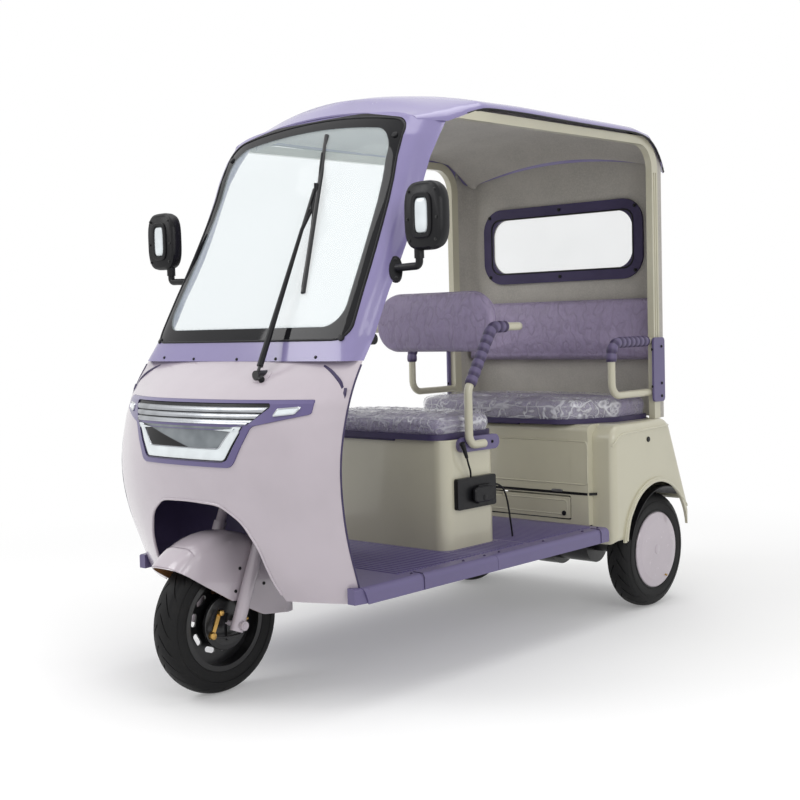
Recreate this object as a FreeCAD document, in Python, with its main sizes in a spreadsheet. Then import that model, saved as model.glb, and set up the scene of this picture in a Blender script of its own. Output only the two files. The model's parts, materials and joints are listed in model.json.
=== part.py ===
"""An electric passenger tricycle of the auto rickshaw kind, with its front wheel steered.

Millimetres, +Z up, the front towards -Y and the vehicle's left side towards +X.
The origin lies on the floor under the middle of the vehicle's length and width.
"""

import FreeCAD
import Part
import Sketcher
import math
import os

# Driving dimensions, in millimetres unless the name says degrees or share
SIZES = {
    "Layout": {
        "wheelbase": 1660,
        "rear_overhang": 215,
        "track_width": 796,
        "seat_gap": 0.3,
        "overrun": 20,
        "running_clearance": 0.05,
    },
    "Wheels": {
        "tyre_radius": 205,
        "tyre_width": 84,
        "rear_tyre_width": 92,
        "tyre_wall": 10,
        "rim_radius": 128,
        "flange_radius": 140,
        "flange_width": 5,
        "rim_wall": 4,
        "web_thickness": 6,
        "hub_radius": 34,
        "hub_width": 70,
        "axle_radius": 8,
        "rear_axle_radius": 12,
        "slot_circle_radius": 84,
        "slot_length": 38,
        "slot_width": 16,
        "slot_count": 9,
        "cap_radius": 134,
        "cap_thickness": 5,
        "cap_crown": 8,
    },
    "Steering": {
        "rake_degrees": 22,
        "slider_radius": 19,
        "slider_length": 300,
        "stanchion_radius": 15,
        "stanchion_length": 360,
        "head_rise": 100,
        "yoke_height": 30,
        "yoke_depth": 56,
        "stem_radius": 14,
        "head_radius": 24,
        "head_length": 170,
        "stem_length": 800,
        "nut_radius": 13,
        "nut_length": 14,
        "bar_radius": 11,
        "bar_half_width": 300,
        "bar_sweep": 60,
        "bar_rise": 40,
        "bar_bend": 50,
        "brake_plate_radius": 78,
        "brake_plate_depth": 14,
        "brake_lever_length": 70,
        "brake_lever_width": 16,
        "brake_lever_thickness": 6,
    },
    "Mudguard": {
        "mudguard_radius": 256,
        "mudguard_half_width": 74,
        "mudguard_wall": 4,
        "mudguard_shoulder": 46,
        "mudguard_lip_round": 12,
        "mudguard_sweep_round": 200,
        "mudguard_tail_round": 60,
    },
    "Fairing": {
        "fairing_drop": 48,
        "fairing_half_width": 474,
        "fairing_nose_reach": 102,
        "fairing_depth": 250,
        "fairing_wall": 4,
        "arch_half_width": 262,
        "arch_height": 271,
        "arch_round": 120,
        "well_radius": 292,
        "well_wall": 4,
        "well_rise": 86.5,
        "shroud_half_width": 70,
        "shroud_depth": 106,
        "shroud_height": 525,
        "shroud_round": 20,
        "shroud_knee_round": 90,
        "shroud_knee_share": 0.81,
        "shroud_wall": 4,
        "dash_depth": 112,
        "dash_height": 296,
        "dash_lean": 60,
    },
    "Lamp": {
        "lamp_over_well": 121,
        "fairing_over_lamp": 196,
        "lamp_round": 8,
        "lamp_foot_round": 30,
        "lamp_half_width": 394,
        "lamp_foot_half_width": 190,
        "lamp_rise": 98,
        "lamp_drop": 82,
        "lamp_border": 16,
        "lamp_proud": 4,
        "lamp_depth": 12,
    },
    "Windscreen": {
        "surround_height": 754,
        "surround_half_width": 462,
        "surround_depth": 500,
        "surround_wall": 22,
        "glass_wall": 5,
        "glass_rise": 55,
        "glass_height": 676,
        "glass_bottom_half_width": 415,
        "glass_top_half_width": 374,
        "glass_corner": 40,
        "glass_crown_round": 300,
    },
    "Roof": {
        "roof_front": 470,
        "roof_tail": 110,
        "roof_overlap": 32,
        "roof_half_width": 478,
        "roof_rise": 88,
        "roof_wall": 5,
        "lining_wall": 6,
        "lining_lead": 95,
        "lining_margin": 40,
    },
    "Side frames": {
        "rail_inner": 440,
        "rail_width": 24,
        "rail_height": 28,
        "pillar_lead": 30,
        "pillar_depth": 38,
        "rail_front": 560,
        "groove_width": 6,
        "groove_depth": 3,
        "groove_margin": 60,
        "rail_corner": 80,
    },
    "Rear wall": {
        "wall_thickness": 6,
        "wall_half_width": 452,
        "wall_depth": 80,
        "wall_corner": 50,
        "wall_below_edge": 20,
        "window_half_width": 362,
        "window_rise": 501,
        "window_height": 292,
        "window_border": 42,
        "window_corner": 66,
        "window_proud": 10,
        "pane_thickness": 4,
    },
    "Floor": {
        "floor_front": 10,
        "floor_half_width": 480,
        "floor_sheet": 4,
        "sill_depth": 46,
        "sill_width": 34,
        "sill_round": 18,
        "floor_split": 690,
        "floor_split_gap": 1.5,
    },
    "Frame": {
        "rail_spacing": 440,
        "rail_tube_width": 40,
        "rail_tube_height": 44,
        "tube_wall": 3,
        "cross_tube": 30,
        "down_tube_radius": 24,
        "plate_hole_spacing": 120,
        "plate_hole_radius": 3.3,
    },
    "Seat box": {
        "box_front": 646,
        "box_depth": 259,
        "box_half_width": 315,
        "box_height": 338,
        "box_wall": 4,
        "box_corner": 42,
    },
    "Front seat": {
        "tray_height": 18,
        "tray_overhang": 12,
        "front_cushion_height": 60,
        "cushion_inset": 8,
        "cushion_corner": 45,
        "hinge_radius": 4,
        "hinge_gap": 2,
        "hinge_half_length": 120,
        "front_pad_half_width": 255,
        "front_pad_rise": 264,
        "front_pad_height": 195,
        "front_pad_lead": 309,
        "front_pad_low_round": 80,
        "front_pad_high_round": 95,
        "front_pad_thickness": 56,
        "arm_radius": 13,
        "arm_bend": 45,
        "arm_foot": 106,
        "arm_column": 31,
        "arm_rise": 170,
        "arm_shoulder": 156,
        "bracket_length": 200,
        "bracket_height": 46,
        "bracket_thickness": 14,
        "bracket_lead": 58,
    },
    "Rear body": {
        "body_lead": 335,
        "body_half_width": 485,
        "body_height": 341,
        "body_drop": 63,
        "body_wall": 4,
        "body_edge": 24,
        "tub_lead": 27,
        "tub_half_width": 400,
        "shoulder_length": 365,
        "tail_slope_drop": 318,
        "tail_tuck": 12,
        "body_tail": 166,
        "arch_radius": 206,
        "arch_lip_width": 13,
        "arch_lip_proud": 6,
        "arch_set_forward": 62,
        "arch_set_up": 50,
        "liner_radius": 230,
        "liner_reach": 132,
        "arch_inner": 335,
        "liner_wall": 3,
        "hatch_margin": 60,
        "hatch_round": 20,
        "inset_depth": 1.6,
        "inset_margin": 26,
        "inset_round": 18,
        "flap_half_width": 330,
        "flap_rise": 13,
        "flap_round": 8,
        "flap_height": 84,
        "flap_thickness": 10,
        "flap_gap": 5,
        "pin_radius": 1.8,
    },
    "Rear seat": {
        "rear_tray_height": 16,
        "rear_tray_half_width": 424,
        "rear_tray_lead": 26,
        "rear_tray_front_half_width": 330,
        "rear_tray_corner_run": 190,
        "rear_tray_depth": 400,
        "rear_cushion_height": 72,
        "rear_pad_half_width": 425,
        "rear_pad_rise": 208,
        "rear_pad_round": 10,
        "rear_pad_corner": 50,
        "rear_pad_height": 217,
        "rear_pad_thickness": 62,
        "armrest_spread": 448,
        "armrest_rise": 94,
        "armrest_height": 180,
        "armrest_length": 252,
        "plate_height": 226,
        "plate_rise": 60,
        "plate_round": 14,
        "plate_depth": 74,
        "plate_thickness": 8,
    },
    "Mirrors": {
        "mirror_offset": 563,
        "mirror_half_width": 68,
        "mirror_rise": 290,
        "mirror_height": 184,
        "mirror_front": 282,
        "mirror_depth": 42,
        "mirror_corner": 32,
        "mirror_drop": 42,
        "mirror_arm_width": 20,
    },
    "Wiper": {
        "wiper_pivot_across": 178,
        "wiper_pivot_drop": 35,
        "wiper_boss_radius": 13,
        "wiper_boss_length": 30,
        "wiper_arm_radius": 4.5,
        "wiper_lift": 22,
        "wiper_joint_across": 118,
        "wiper_joint_rise": 492,
        "blade_low_across": 203,
        "blade_low_rise": 188,
        "blade_high_across": 83,
        "blade_high_rise": 660,
        "blade_radius": 7,
        "blade_lift": 5,
    },
    "Charging": {
        "panel_lead": 44,
        "panel_length": 190,
        "panel_rise": 121,
        "panel_round": 8,
        "panel_stand_off": 15,
        "panel_run": 98.6,
        "charger_set": 32,
        "charger_stand_off": 28,
        "charger_run": 34,
        "charger_rise": 63,
        "panel_height": 96,
        "panel_thickness": 26,
        "lead_diameter": 6,
        "plug_radius": 9,
        "plug_length": 52,
    },
    "Running gear": {
        "spring_leaf": 7,
        "spring_width": 45,
        "spring_half_length": 180,
        "spring_space": 52.4,
        "spring_round": 300,
        "gearcase_radius": 92,
        "gearcase_width": 90,
        "motor_radius": 72,
        "motor_length": 150,
        "axle_tube_radius": 29,
    },
}


class Size:
    """A number read from the sheet, with the expression that gives it."""

    def __init__(self, value, text):
        self.value = float(value)
        self.text = text

    def __float__(self):
        return self.value

    def __add__(self, other):
        return combine(self, "+", other)

    def __radd__(self, other):
        return combine(other, "+", self)

    def __sub__(self, other):
        return combine(self, "-", other)

    def __rsub__(self, other):
        return combine(other, "-", self)

    def __mul__(self, other):
        return combine(self, "*", other)

    def __rmul__(self, other):
        return combine(other, "*", self)

    def __truediv__(self, other):
        return combine(self, "/", other)

    def __neg__(self):
        return Size(-self.value, f"-({self.text})")


OPERATIONS = {
    "+": lambda first, second: first + second,
    "-": lambda first, second: first - second,
    "*": lambda first, second: first * second,
    "/": lambda first, second: first / second,
}


def combine(first, sign, second):
    """Join two sizes, or a size and a plain number, into one that keeps both texts."""
    texts = [item.text if isinstance(item, Size) else repr(item) for item in (first, second)]
    value = OPERATIONS[sign](float(first), float(second))
    return Size(value, f"({texts[0]} {sign} {texts[1]})")


doc = FreeCAD.newDocument("Rickshaw")


def make_sheet():
    """Write every driving dimension into the sheet, with its name as the cell's alias."""
    sheet = doc.addObject("Spreadsheet::Sheet", "Sizes")
    row = 1
    for heading, rows in SIZES.items():
        sheet.set(f"A{row}", heading)
        row += 1
        for name, value in rows.items():
            sheet.set(f"A{row}", name)
            sheet.set(f"B{row}", str(value))
            sheet.setAlias(f"B{row}", name)
            row += 1
    doc.recompute()
    return sheet


class Sheet:
    """The sheet's cells as attributes, each a Size."""

    def __init__(self, cells):
        self.cells = cells

    def __getattr__(self, name):
        return Size(self.cells.get(name), f"Sizes.{name}")


size = Sheet(make_sheet())
PARTS = []


def bind(target, path, value):
    """Set one property from a size's expression, or from a plain zero."""
    if isinstance(value, Size):
        target.setExpression(path, value.text)


def point(x, y, z):
    return FreeCAD.Vector(float(x), float(y), float(z))


def move(target, x, y, z):
    """Place an object, each coordinate bound to the sheet."""
    target.Placement.Base = point(x, y, z)
    for axis, value in (("x", x), ("y", y), ("z", z)):
        bind(target, f"Placement.Base.{axis}", value)


def keep(target):
    """List an object as a sub-part, to be written under its label."""
    PARTS.append(target)
    return target


PLANES = {"XY": ("XY_Plane", 1), "XZ": ("XZ_Plane", -1), "YZ": ("YZ_Plane", 1)}
ALL_ROUND = 360


class Outline:
    """A closed line of corners (x, y) or (x, y, radius) drawn into a sketch."""

    def __init__(self, sketch):
        self.sketch = sketch

    def fix(self, kind, places, value):
        index = self.sketch.addConstraint(Sketcher.Constraint(kind, *places, float(value)))
        bind(self.sketch, f"Constraints[{index}]", value)

    def pin(self, geometry, position, x, y):
        """Hold a point at its place, on an axis where the place is a plain zero."""
        for value, kind, axis in ((x, "DistanceX", -2), (y, "DistanceY", -1)):
            if isinstance(value, Size):
                self.fix(kind, (-1, 1, geometry, position), value)
            else:
                self.sketch.addConstraint(Sketcher.Constraint("PointOnObject", geometry, position, axis))

    def circle(self, x, y, radius):
        ring = Part.Circle(point(x, y, 0), FreeCAD.Vector(0, 0, 1), float(radius))
        index = self.sketch.addGeometry(ring, False)
        self.pin(index, 3, x, y)
        self.fix("Radius", (index,), radius)

    def closed(self, corners):
        places = [point(corner[0], corner[1], 0) for corner in corners]
        radii = [corner[2] if len(corner) > 2 else 0 for corner in corners]
        count = len(corners)
        rounds = [round_corner(places[i - 1], places[i], places[(i + 1) % count], float(radii[i]))
                  for i in range(count)]
        sides = []
        for i in range(count):
            start = rounds[i]["leave"]
            end = rounds[(i + 1) % count]["arrive"]
            sides.append(self.sketch.addGeometry(Part.LineSegment(start, end), False))
        for i, corner in enumerate(corners):
            before, after = sides[i - 1], sides[i]
            if rounds[i]["arc"] is None:
                self.sketch.addConstraint(Sketcher.Constraint("Coincident", before, 2, after, 1))
                self.pin(after, 1, corner[0], corner[1])
                continue
            arc = self.sketch.addGeometry(rounds[i]["arc"], False)
            first, last = rounds[i]["ends"]
            self.sketch.addConstraint(Sketcher.Constraint("Tangent", before, 2, arc, first))
            self.sketch.addConstraint(Sketcher.Constraint("Tangent", arc, last, after, 1))
            self.fix("Radius", (arc,), radii[i])
            peak = self.sketch.addGeometry(Part.Point(places[i]), True)
            self.sketch.addConstraint(Sketcher.Constraint("PointOnObject", peak, 1, before))
            self.sketch.addConstraint(Sketcher.Constraint("PointOnObject", peak, 1, after))
            self.pin(peak, 1, corner[0], corner[1])


def round_corner(before, corner, after, radius):
    """Where the sides beside a corner end, and the arc between them."""
    if not radius:
        return {"arrive": corner, "leave": corner, "arc": None}
    inward = (before - corner).normalize()
    outward = (after - corner).normalize()
    half = inward.getAngle(outward) / 2
    reach = radius / math.tan(half)
    arrive = corner + inward * reach
    leave = corner + outward * reach
    centre = corner + (inward + outward).normalize() * (radius / math.sin(half))
    left_turn = inward.cross(outward).z < 0
    first, last = (arrive, leave) if left_turn else (leave, arrive)
    start = math.atan2(first.y - centre.y, first.x - centre.x)
    end = math.atan2(last.y - centre.y, last.x - centre.x)
    if end < start:
        end += 2 * math.pi
    ring = Part.Circle(centre, FreeCAD.Vector(0, 0, 1), radius)
    arc = Part.ArcOfCircle(ring, start, end)
    return {"arrive": arrive, "leave": leave, "arc": arc, "ends": (1, 2) if left_turn else (2, 1)}


class Piece:
    """One body that profiles are added to and cut from."""

    def __init__(self, label):
        self.body = doc.addObject("PartDesign::Body", label)
        self.body.Label = label
        self.body.AllowCompound = True
        self.features = 0

    def name(self, kind):
        self.features += 1
        return f"{self.body.Name}_{kind}_{self.features}"

    def sketch(self, plane, offset=0):
        role, sign = PLANES[plane]
        drawing = self.body.newObject("Sketcher::SketchObject", self.name("sketch"))
        support = next(item for item in self.body.Origin.OriginFeatures if item.Role == role)
        drawing.AttachmentSupport = (support, "")
        drawing.MapMode = "FlatFace"
        distance = offset * sign
        drawing.AttachmentOffset = FreeCAD.Placement(point(0, 0, distance), FreeCAD.Rotation())
        bind(drawing, "AttachmentOffset.Base.z", distance)
        return drawing

    def extrude(self, kind, plane, draw, low, high):
        middle = (low + high) / 2
        drawing = self.sketch(plane, middle)
        draw(Outline(drawing))
        feature = self.body.newObject(kind, self.name("block"))
        feature.Profile = drawing
        feature.SideType = "Symmetric"
        length = high - low
        feature.Length = float(length)
        bind(feature, "Length", length)
        return feature

    def pad(self, plane, corners, low, high):
        """Add a prism of an outline between two places along the plane's normal."""
        return self.extrude("PartDesign::Pad", plane, lambda line: line.closed(corners), low, high)

    def pocket(self, plane, corners, low, high):
        """Cut a prism of an outline between two places along the plane's normal."""
        return self.extrude("PartDesign::Pocket", plane, lambda line: line.closed(corners), low, high)

    def disc(self, plane, x, y, radius, low, high):
        return self.extrude("PartDesign::Pad", plane, lambda line: line.circle(x, y, radius), low, high)

    def bore(self, plane, x, y, radius, low, high):
        return self.extrude("PartDesign::Pocket", plane, lambda line: line.circle(x, y, radius), low, high)

    def turn(self, corners, axis="H_Axis", kind="PartDesign::Revolution", plane="XZ"):
        """Turn an outline about the sketch's first or second axis."""
        drawing = self.sketch(plane)
        Outline(drawing).closed(corners)
        feature = self.body.newObject(kind, self.name("turn"))
        feature.Profile = drawing
        feature.ReferenceAxis = (drawing, [axis])
        feature.Angle = ALL_ROUND
        return feature

    def fillet(self, chosen, radius):
        """Round the edges that the given test picks."""
        return self.dress("PartDesign::Fillet", "Radius", chosen, radius)

    def dress(self, kind, path, chosen, amount):
        doc.recompute()
        base = self.body.Tip
        names = [f"Edge{i + 1}" for i, edge in enumerate(base.Shape.Edges) if chosen(edge)]
        feature = self.body.newObject(kind, self.name("edge"))
        feature.Base = (base, names)
        setattr(feature, path, float(amount))
        bind(feature, path, amount)
        return feature

    def round_pattern(self, feature, axis_drawing, count):
        pattern = self.body.newObject("PartDesign::PolarPattern", self.name("ring"))
        pattern.Originals = [feature]
        pattern.Axis = (axis_drawing, ["N_Axis"])
        pattern.Angle = ALL_ROUND
        bind(pattern, "Occurrences", count)
        pattern.Occurrences = int(float(count))
        self.body.Tip = pattern
        return pattern


def rectangle(x0, y0, x1, y1, radius=0):
    corner = (radius,) if radius else ()
    return [(x0, y0) + corner, (x1, y0) + corner, (x1, y1) + corner, (x0, y1) + corner]


def sided(corners, side):
    """An outline, or its mirror image for the other side."""
    return [(corner[0] * side,) + tuple(corner[1:]) for corner in corners]


def blended(label, shape):
    """Keep a free-form shape that no feature of a body makes."""
    feature = doc.addObject("Part::Feature", label)
    feature.Label = label
    feature.Shape = shape
    return feature


def boolean(kind, label, base, tool):
    feature = doc.addObject(kind, label)
    feature.Label = label
    feature.Base = base
    feature.Tool = tool
    return feature


def cut(label, base, tool):
    return boolean("Part::Cut", label, base, tool)


def common(label, base, tool):
    return boolean("Part::Common", label, base, tool)


def fuse(label, shapes):
    feature = doc.addObject("Part::MultiFuse", label)
    feature.Label = label
    feature.Shapes = shapes
    return feature


def cylinder(label, radius, length, start, direction):
    """A round bar from a start point along a direction."""
    bar = doc.addObject("Part::Cylinder", label)
    bar.Label = label
    bar.Radius = float(radius)
    bar.Height = float(length)
    bind(bar, "Radius", radius)
    bind(bar, "Height", length)
    turn = FreeCAD.Rotation(FreeCAD.Vector(0, 0, 1), FreeCAD.Vector(*[float(part) for part in direction]))
    bar.Placement = FreeCAD.Placement(point(*start), turn)
    for axis, value in zip("xyz", start):
        bind(bar, f"Placement.Base.{axis}", value)
    return bar


def box(label, low, high):
    """A block between two corners."""
    block = doc.addObject("Part::Box", label)
    block.Label = label
    for name, first, last in zip(("Length", "Width", "Height"), low, high):
        span = last - first
        setattr(block, name, float(span))
        bind(block, name, span)
    move(block, *low)
    return block


def bent_path(places, radii):
    """Straight runs joined by tangent arcs, as one wire."""
    edges = []
    start = places[0]
    for i in range(1, len(places) - 1):
        inward = (places[i - 1] - places[i]).normalize()
        outward = (places[i + 1] - places[i]).normalize()
        half = inward.getAngle(outward) / 2
        reach = radii[i - 1] / math.tan(half)
        arrive = places[i] + inward * reach
        leave = places[i] + outward * reach
        middle = (inward + outward).normalize()
        centre = places[i] + middle * (radii[i - 1] / math.sin(half))
        crown = centre - middle * radii[i - 1]
        edges.append(Part.LineSegment(start, arrive).toShape())
        edges.append(Part.Arc(arrive, crown, leave).toShape())
        start = leave
    edges.append(Part.LineSegment(start, places[-1]).toShape())
    return Part.Wire(edges)


def swept_tube(places, radius, bends):
    """A round tube along straight runs and tangent arcs."""
    points = [point(*place) for place in places]
    spine = bent_path(points, [float(bend) for bend in bends])
    circle = Part.Circle(points[0], points[1] - points[0], float(radius))
    ring = Part.Wire(circle.toShape())
    return spine.makePipeShell([ring], True, True)


# Places that several pieces share
axle_height = size.tyre_radius
front_axle = size.tyre_radius - (size.tyre_radius + size.wheelbase + size.rear_overhang) / 2
rear_axle = front_axle + size.wheelbase
wheel_offset = size.track_width / 2
fork_spread = size.mudguard_half_width + size.slider_radius + size.seat_gap
over = size.overrun
rake = math.radians(float(size.rake_degrees))
rails_low = axle_height + size.axle_tube_radius + size.seat_gap * 2 + size.spring_space
floor_top = rails_low + size.rail_tube_height + size.floor_sheet
fairing_low = floor_top - size.fairing_drop
well_high = axle_height + (size.stanchion_length + size.well_rise) * math.cos(rake)
lamp_level = well_high + size.lamp_over_well
fairing_high = lamp_level + size.fairing_over_lamp
screen_high = fairing_high + size.surround_height
glass_low = fairing_high + size.glass_rise
roof_edge = screen_high - size.roof_overlap
roof_start = front_axle + size.roof_front
roof_span = rear_axle + size.roof_tail - roof_start
box_start = front_axle + size.box_front
seat_level = floor_top + size.box_height
body_start = rear_axle - size.body_lead
tub_start = body_start - size.tub_lead
body_end = rear_axle + size.body_tail
body_high = floor_top + size.body_height
body_low = floor_top - size.body_drop
flap_low = floor_top + size.flap_rise
pillar_start = rear_axle - size.pillar_lead
wall_high = roof_edge - size.wall_below_edge
window_low = body_high + size.window_rise
armrest_low = body_high + size.armrest_rise
plate_low = body_high + size.plate_rise
mirror_low = fairing_high + size.mirror_rise
STEER_AXIS = (0, math.sin(rake), math.cos(rake))


def steer_point(distance):
    """A point on the steering axis, measured up from the front axle."""
    return (Size(0, "0"), front_axle + distance * math.sin(rake), axle_height + distance * math.cos(rake))


def tyre(label, width, x):
    """A tyre that sits on the rim's two beads, its closed inside left solid."""
    piece = Piece(label)
    half = width / 2
    wall = size.tyre_wall
    bead = half * 0.82
    tread = half * 0.64
    lip = size.flange_radius + size.seat_gap
    right = [
        (bead, size.rim_radius), (bead, lip), (half, lip + wall * 1.4), (half, size.tyre_radius - wall * 2.6),
        (half * 0.88, size.tyre_radius - wall * 0.9), (tread, size.tyre_radius),
    ]
    left = [(-corner[0],) + corner[1:] for corner in reversed(right)]
    piece.turn(right + left)
    move(piece.body, x, Size(0, "0") + (front_axle if x == 0 else rear_axle), axle_height)
    return keep(piece.body)


def front_rim():
    """A pressed wheel with oval slots through its disc and a long hub."""
    piece = Piece("front_rim")
    seat = size.rim_radius - size.running_clearance
    half = size.tyre_width / 2 * 0.82
    wall = size.rim_wall
    web = size.web_thickness / 2
    hub = size.hub_width / 2
    bore = size.axle_radius + size.running_clearance
    piece.turn([
        (-half - size.flange_width, size.flange_radius), (-half, size.flange_radius), (-half, seat),
        (half, seat), (half, size.flange_radius), (half + size.flange_width, size.flange_radius),
        (half + size.flange_width, seat - wall), (web, seat - wall), (web, size.hub_radius),
        (hub, size.hub_radius), (hub, bore), (-hub, bore), (-hub, size.hub_radius),
        (-web, size.hub_radius), (-web, seat - wall), (-half - size.flange_width, seat - wall),
    ])
    radius = size.slot_width / 2
    reach = size.slot_length / 2
    slot = piece.pocket("YZ", rectangle(-reach, size.slot_circle_radius - radius, reach,
                                        size.slot_circle_radius + radius, radius * 0.98), -over, over)
    piece.round_pattern(slot, slot.Profile[0], size.slot_count)
    move(piece.body, Size(0, "0"), front_axle, axle_height)
    return keep(piece.body)


def rear_rim(label, side):
    """A wheel whose outer face is closed by a smooth domed cap."""
    piece = Piece(label)
    seat = size.rim_radius - size.running_clearance
    half = size.rear_tyre_width / 2 * 0.82
    wall = size.rim_wall
    web = size.web_thickness / 2
    hub = size.hub_width / 2
    bore = size.rear_axle_radius + size.running_clearance
    flange = half + size.flange_width
    outline = [
        (-flange, size.flange_radius), (-half, size.flange_radius), (-half, seat),
        (half, seat), (half, size.flange_radius), (flange, size.flange_radius),
        (flange, seat - wall), (web, seat - wall), (web, size.hub_radius),
        (hub, size.hub_radius), (hub, bore), (-hub, bore), (-hub, size.hub_radius),
        (-web, size.hub_radius), (-web, seat - wall), (-flange, seat - wall),
    ]
    piece.turn(sided(outline, side))
    move(piece.body, wheel_offset * side, rear_axle, axle_height)
    return keep(piece.body)


def wheel_cap(label, side):
    """The smooth cap that covers a rear wheel's rim."""
    piece = Piece(label)
    face = size.rear_tyre_width / 2 * 0.82 + size.flange_width + size.seat_gap
    rim = size.cap_radius
    step = size.cap_thickness * 0.5
    outline = [(face, 0), (face, rim), (face + step, rim), (face + size.cap_thickness, rim - step),
               (face + size.cap_crown, rim * 0.8), (face + size.cap_crown, 0)]
    piece.turn(sided(outline, side))
    move(piece.body, wheel_offset * side, rear_axle, axle_height)
    return keep(piece.body)


def front_fork():
    """Two sliders and stanchions, their yokes and the steering stem, with the wheel's axle."""
    spread = fork_spread
    bars = []
    foot = size.slider_radius
    for side in (-1, 1):
        start = steer_point(-foot)
        bars.append(cylinder(f"slider_{side}", size.slider_radius, size.slider_length,
                             (spread * side, start[1], start[2]), STEER_AXIS))
        start = steer_point(size.slider_length - foot)
        bars.append(cylinder(f"stanchion_{side}", size.stanchion_radius,
                             size.stanchion_length - size.slider_length + foot,
                             (spread * side, start[1], start[2]), STEER_AXIS))
    yoke = Piece("fork_yoke")
    half = spread + size.stanchion_radius + size.slider_radius / 2
    depth = size.yoke_depth / 2
    yoke.pad("XY", rectangle(-half, -depth, half, depth, depth * 0.9), Size(0, "0"), size.yoke_height)
    place = steer_point(size.stanchion_length)
    move(yoke.body, *place)
    yoke.body.Placement.Rotation = FreeCAD.Rotation(FreeCAD.Vector(1, 0, 0), -float(size.rake_degrees))
    bars.append(yoke.body)
    bars.append(cylinder("fork_stem", size.stem_radius, size.stem_length - size.stanchion_length,
                         steer_point(size.stanchion_length), STEER_AXIS))
    reach = spread + size.slider_radius + size.nut_length
    bars.append(cylinder("fork_axle", size.axle_radius, reach * 2, (-reach, front_axle, axle_height),
                         (1, 0, 0)))
    for side in (-1, 1):
        inner = spread + size.slider_radius * 0.9
        start = inner if side > 0 else -inner - size.nut_length
        bars.append(cylinder(f"axle_nut_{side}", size.nut_radius, size.nut_length,
                             (start, front_axle, axle_height), (1, 0, 0)))
    return keep(fuse("front_fork", bars))


def handlebar():
    """A bent bar clamped on the stem, with a grip on each end."""
    top = steer_point(size.stem_length + size.bar_radius + size.seat_gap)
    rise = size.bar_rise
    places = []
    shape = [(-1.0, 1.0, 1.0), (-0.55, 0.6, 1.0), (-0.25, 0.0, 0.0), (0.25, 0.0, 0.0), (0.55, 0.6, 1.0),
             (1.0, 1.0, 1.0)]
    for across_share, sweep_share, rise_share in shape:
        places.append((size.bar_half_width * across_share,
                       top[1] + size.bar_sweep * sweep_share, top[2] + rise * rise_share))
    tube = swept_tube(places, size.bar_radius, [size.bar_bend] * 4)
    return keep(blended("handlebar", tube))


MUDGUARD_FLAT_SHARES = [(0.0, 1.0), (0.134, 0.5), (0.5, 0.134), (1.0, 0.0)]


def shoulder_flats(half, outer, shoulder):
    """The corner of a profile drawn as flats along a quarter circle."""
    return [(half - shoulder * across, outer - shoulder * down) for across, down in MUDGUARD_FLAT_SHARES]


def mirrored(corners):
    """The same corners on the other side of the middle, in the order that carries on the outline."""
    return [(-corner[0],) + tuple(corner[1:]) for corner in reversed(corners)]


def mudguard():
    """A rounded guard over the front wheel, cut away in front of and below its lip."""
    piece = Piece("front_mudguard")
    half = size.mudguard_half_width
    wall = size.mudguard_wall
    outer = size.mudguard_radius
    low = size.rim_radius * 0.5
    right = shoulder_flats(half, outer, size.mudguard_shoulder)
    inner = shoulder_flats(half - wall, outer - wall, size.mudguard_shoulder - wall)
    piece.turn([(half, low)] + right + mirrored(right) + [(-half, low), (wall - half, low)]
               + mirrored(inner)[::-1] + inner[::-1] + [(half - wall, low)])
    front = -outer - over
    tail = outer + over
    piece.pocket("YZ", [
        (front, outer * 0.7), (outer * -0.73, outer * 0.7, size.mudguard_lip_round),
        (outer * -0.38, outer * 0.48, size.mudguard_sweep_round),
        (outer * 0.05, outer * 0.22, size.mudguard_sweep_round),
        (outer * 0.45, outer * 0.02, size.mudguard_tail_round),
        (outer * 0.82, outer * -0.02, size.mudguard_lip_round),
        (tail, outer * -0.02), (tail, front), (front, front)], -half - over, half + over)
    move(piece.body, Size(0, "0"), front_axle, axle_height)
    return keep(piece.body)


def brake_plate():
    """The drum brake's fixed plate beside the front wheel, with its cam lever."""
    piece = Piece("front_brake")
    face = size.hub_width / 2 + size.seat_gap
    depth = face + size.brake_plate_depth
    bore = size.axle_radius + size.seat_gap
    piece.turn([(face, bore), (face, size.brake_plate_radius),
                (depth - size.rim_wall, size.brake_plate_radius, size.rim_wall),
                (depth, size.brake_plate_radius * 0.8),
                (depth, bore)])
    lever = size.brake_lever_width / 2
    low = -size.brake_plate_radius * 0.55
    piece.pad("YZ", rectangle(-lever, low - lever, lever, low + size.brake_lever_length, lever * 0.9),
              depth - size.rim_wall, depth + size.brake_lever_thickness)
    piece.bore("YZ", Size(0, "0"), Size(0, "0"), bore, face - over, depth + over)
    move(piece.body, Size(0, "0"), front_axle, axle_height)
    return keep(piece.body)


LEVEL_COUNT = 12
# The fairing's levels: height, half-width, nose and side edge as shares of its own sizes
FAIRING_LEVEL_SHARES = [
    (0.0, 0.966, 0.388, 0.92), (0.139, 0.977, 0.228, 0.788), (0.287, 0.990, 0.136, 0.656),
    (0.451, 1.0, 0.056, 0.576), (0.592, 0.996, 0.0, 0.576), (0.729, 0.992, 0.016, 0.648),
    (0.817, 0.990, 0.084, 0.72), (0.867, 0.987, 0.228, 0.776), (0.944, 0.980, 0.548, 0.888),
    (1.0, 0.975, 0.772, 0.992),
]
# How far back the fairing's line has come at each share of its half-width
FAIRING_PLAN_SHARES = [(0.0, 0.0), (0.3, 0.055), (0.55, 0.24), (0.8, 0.585), (0.93, 0.82), (1.0, 1.0)]
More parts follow.
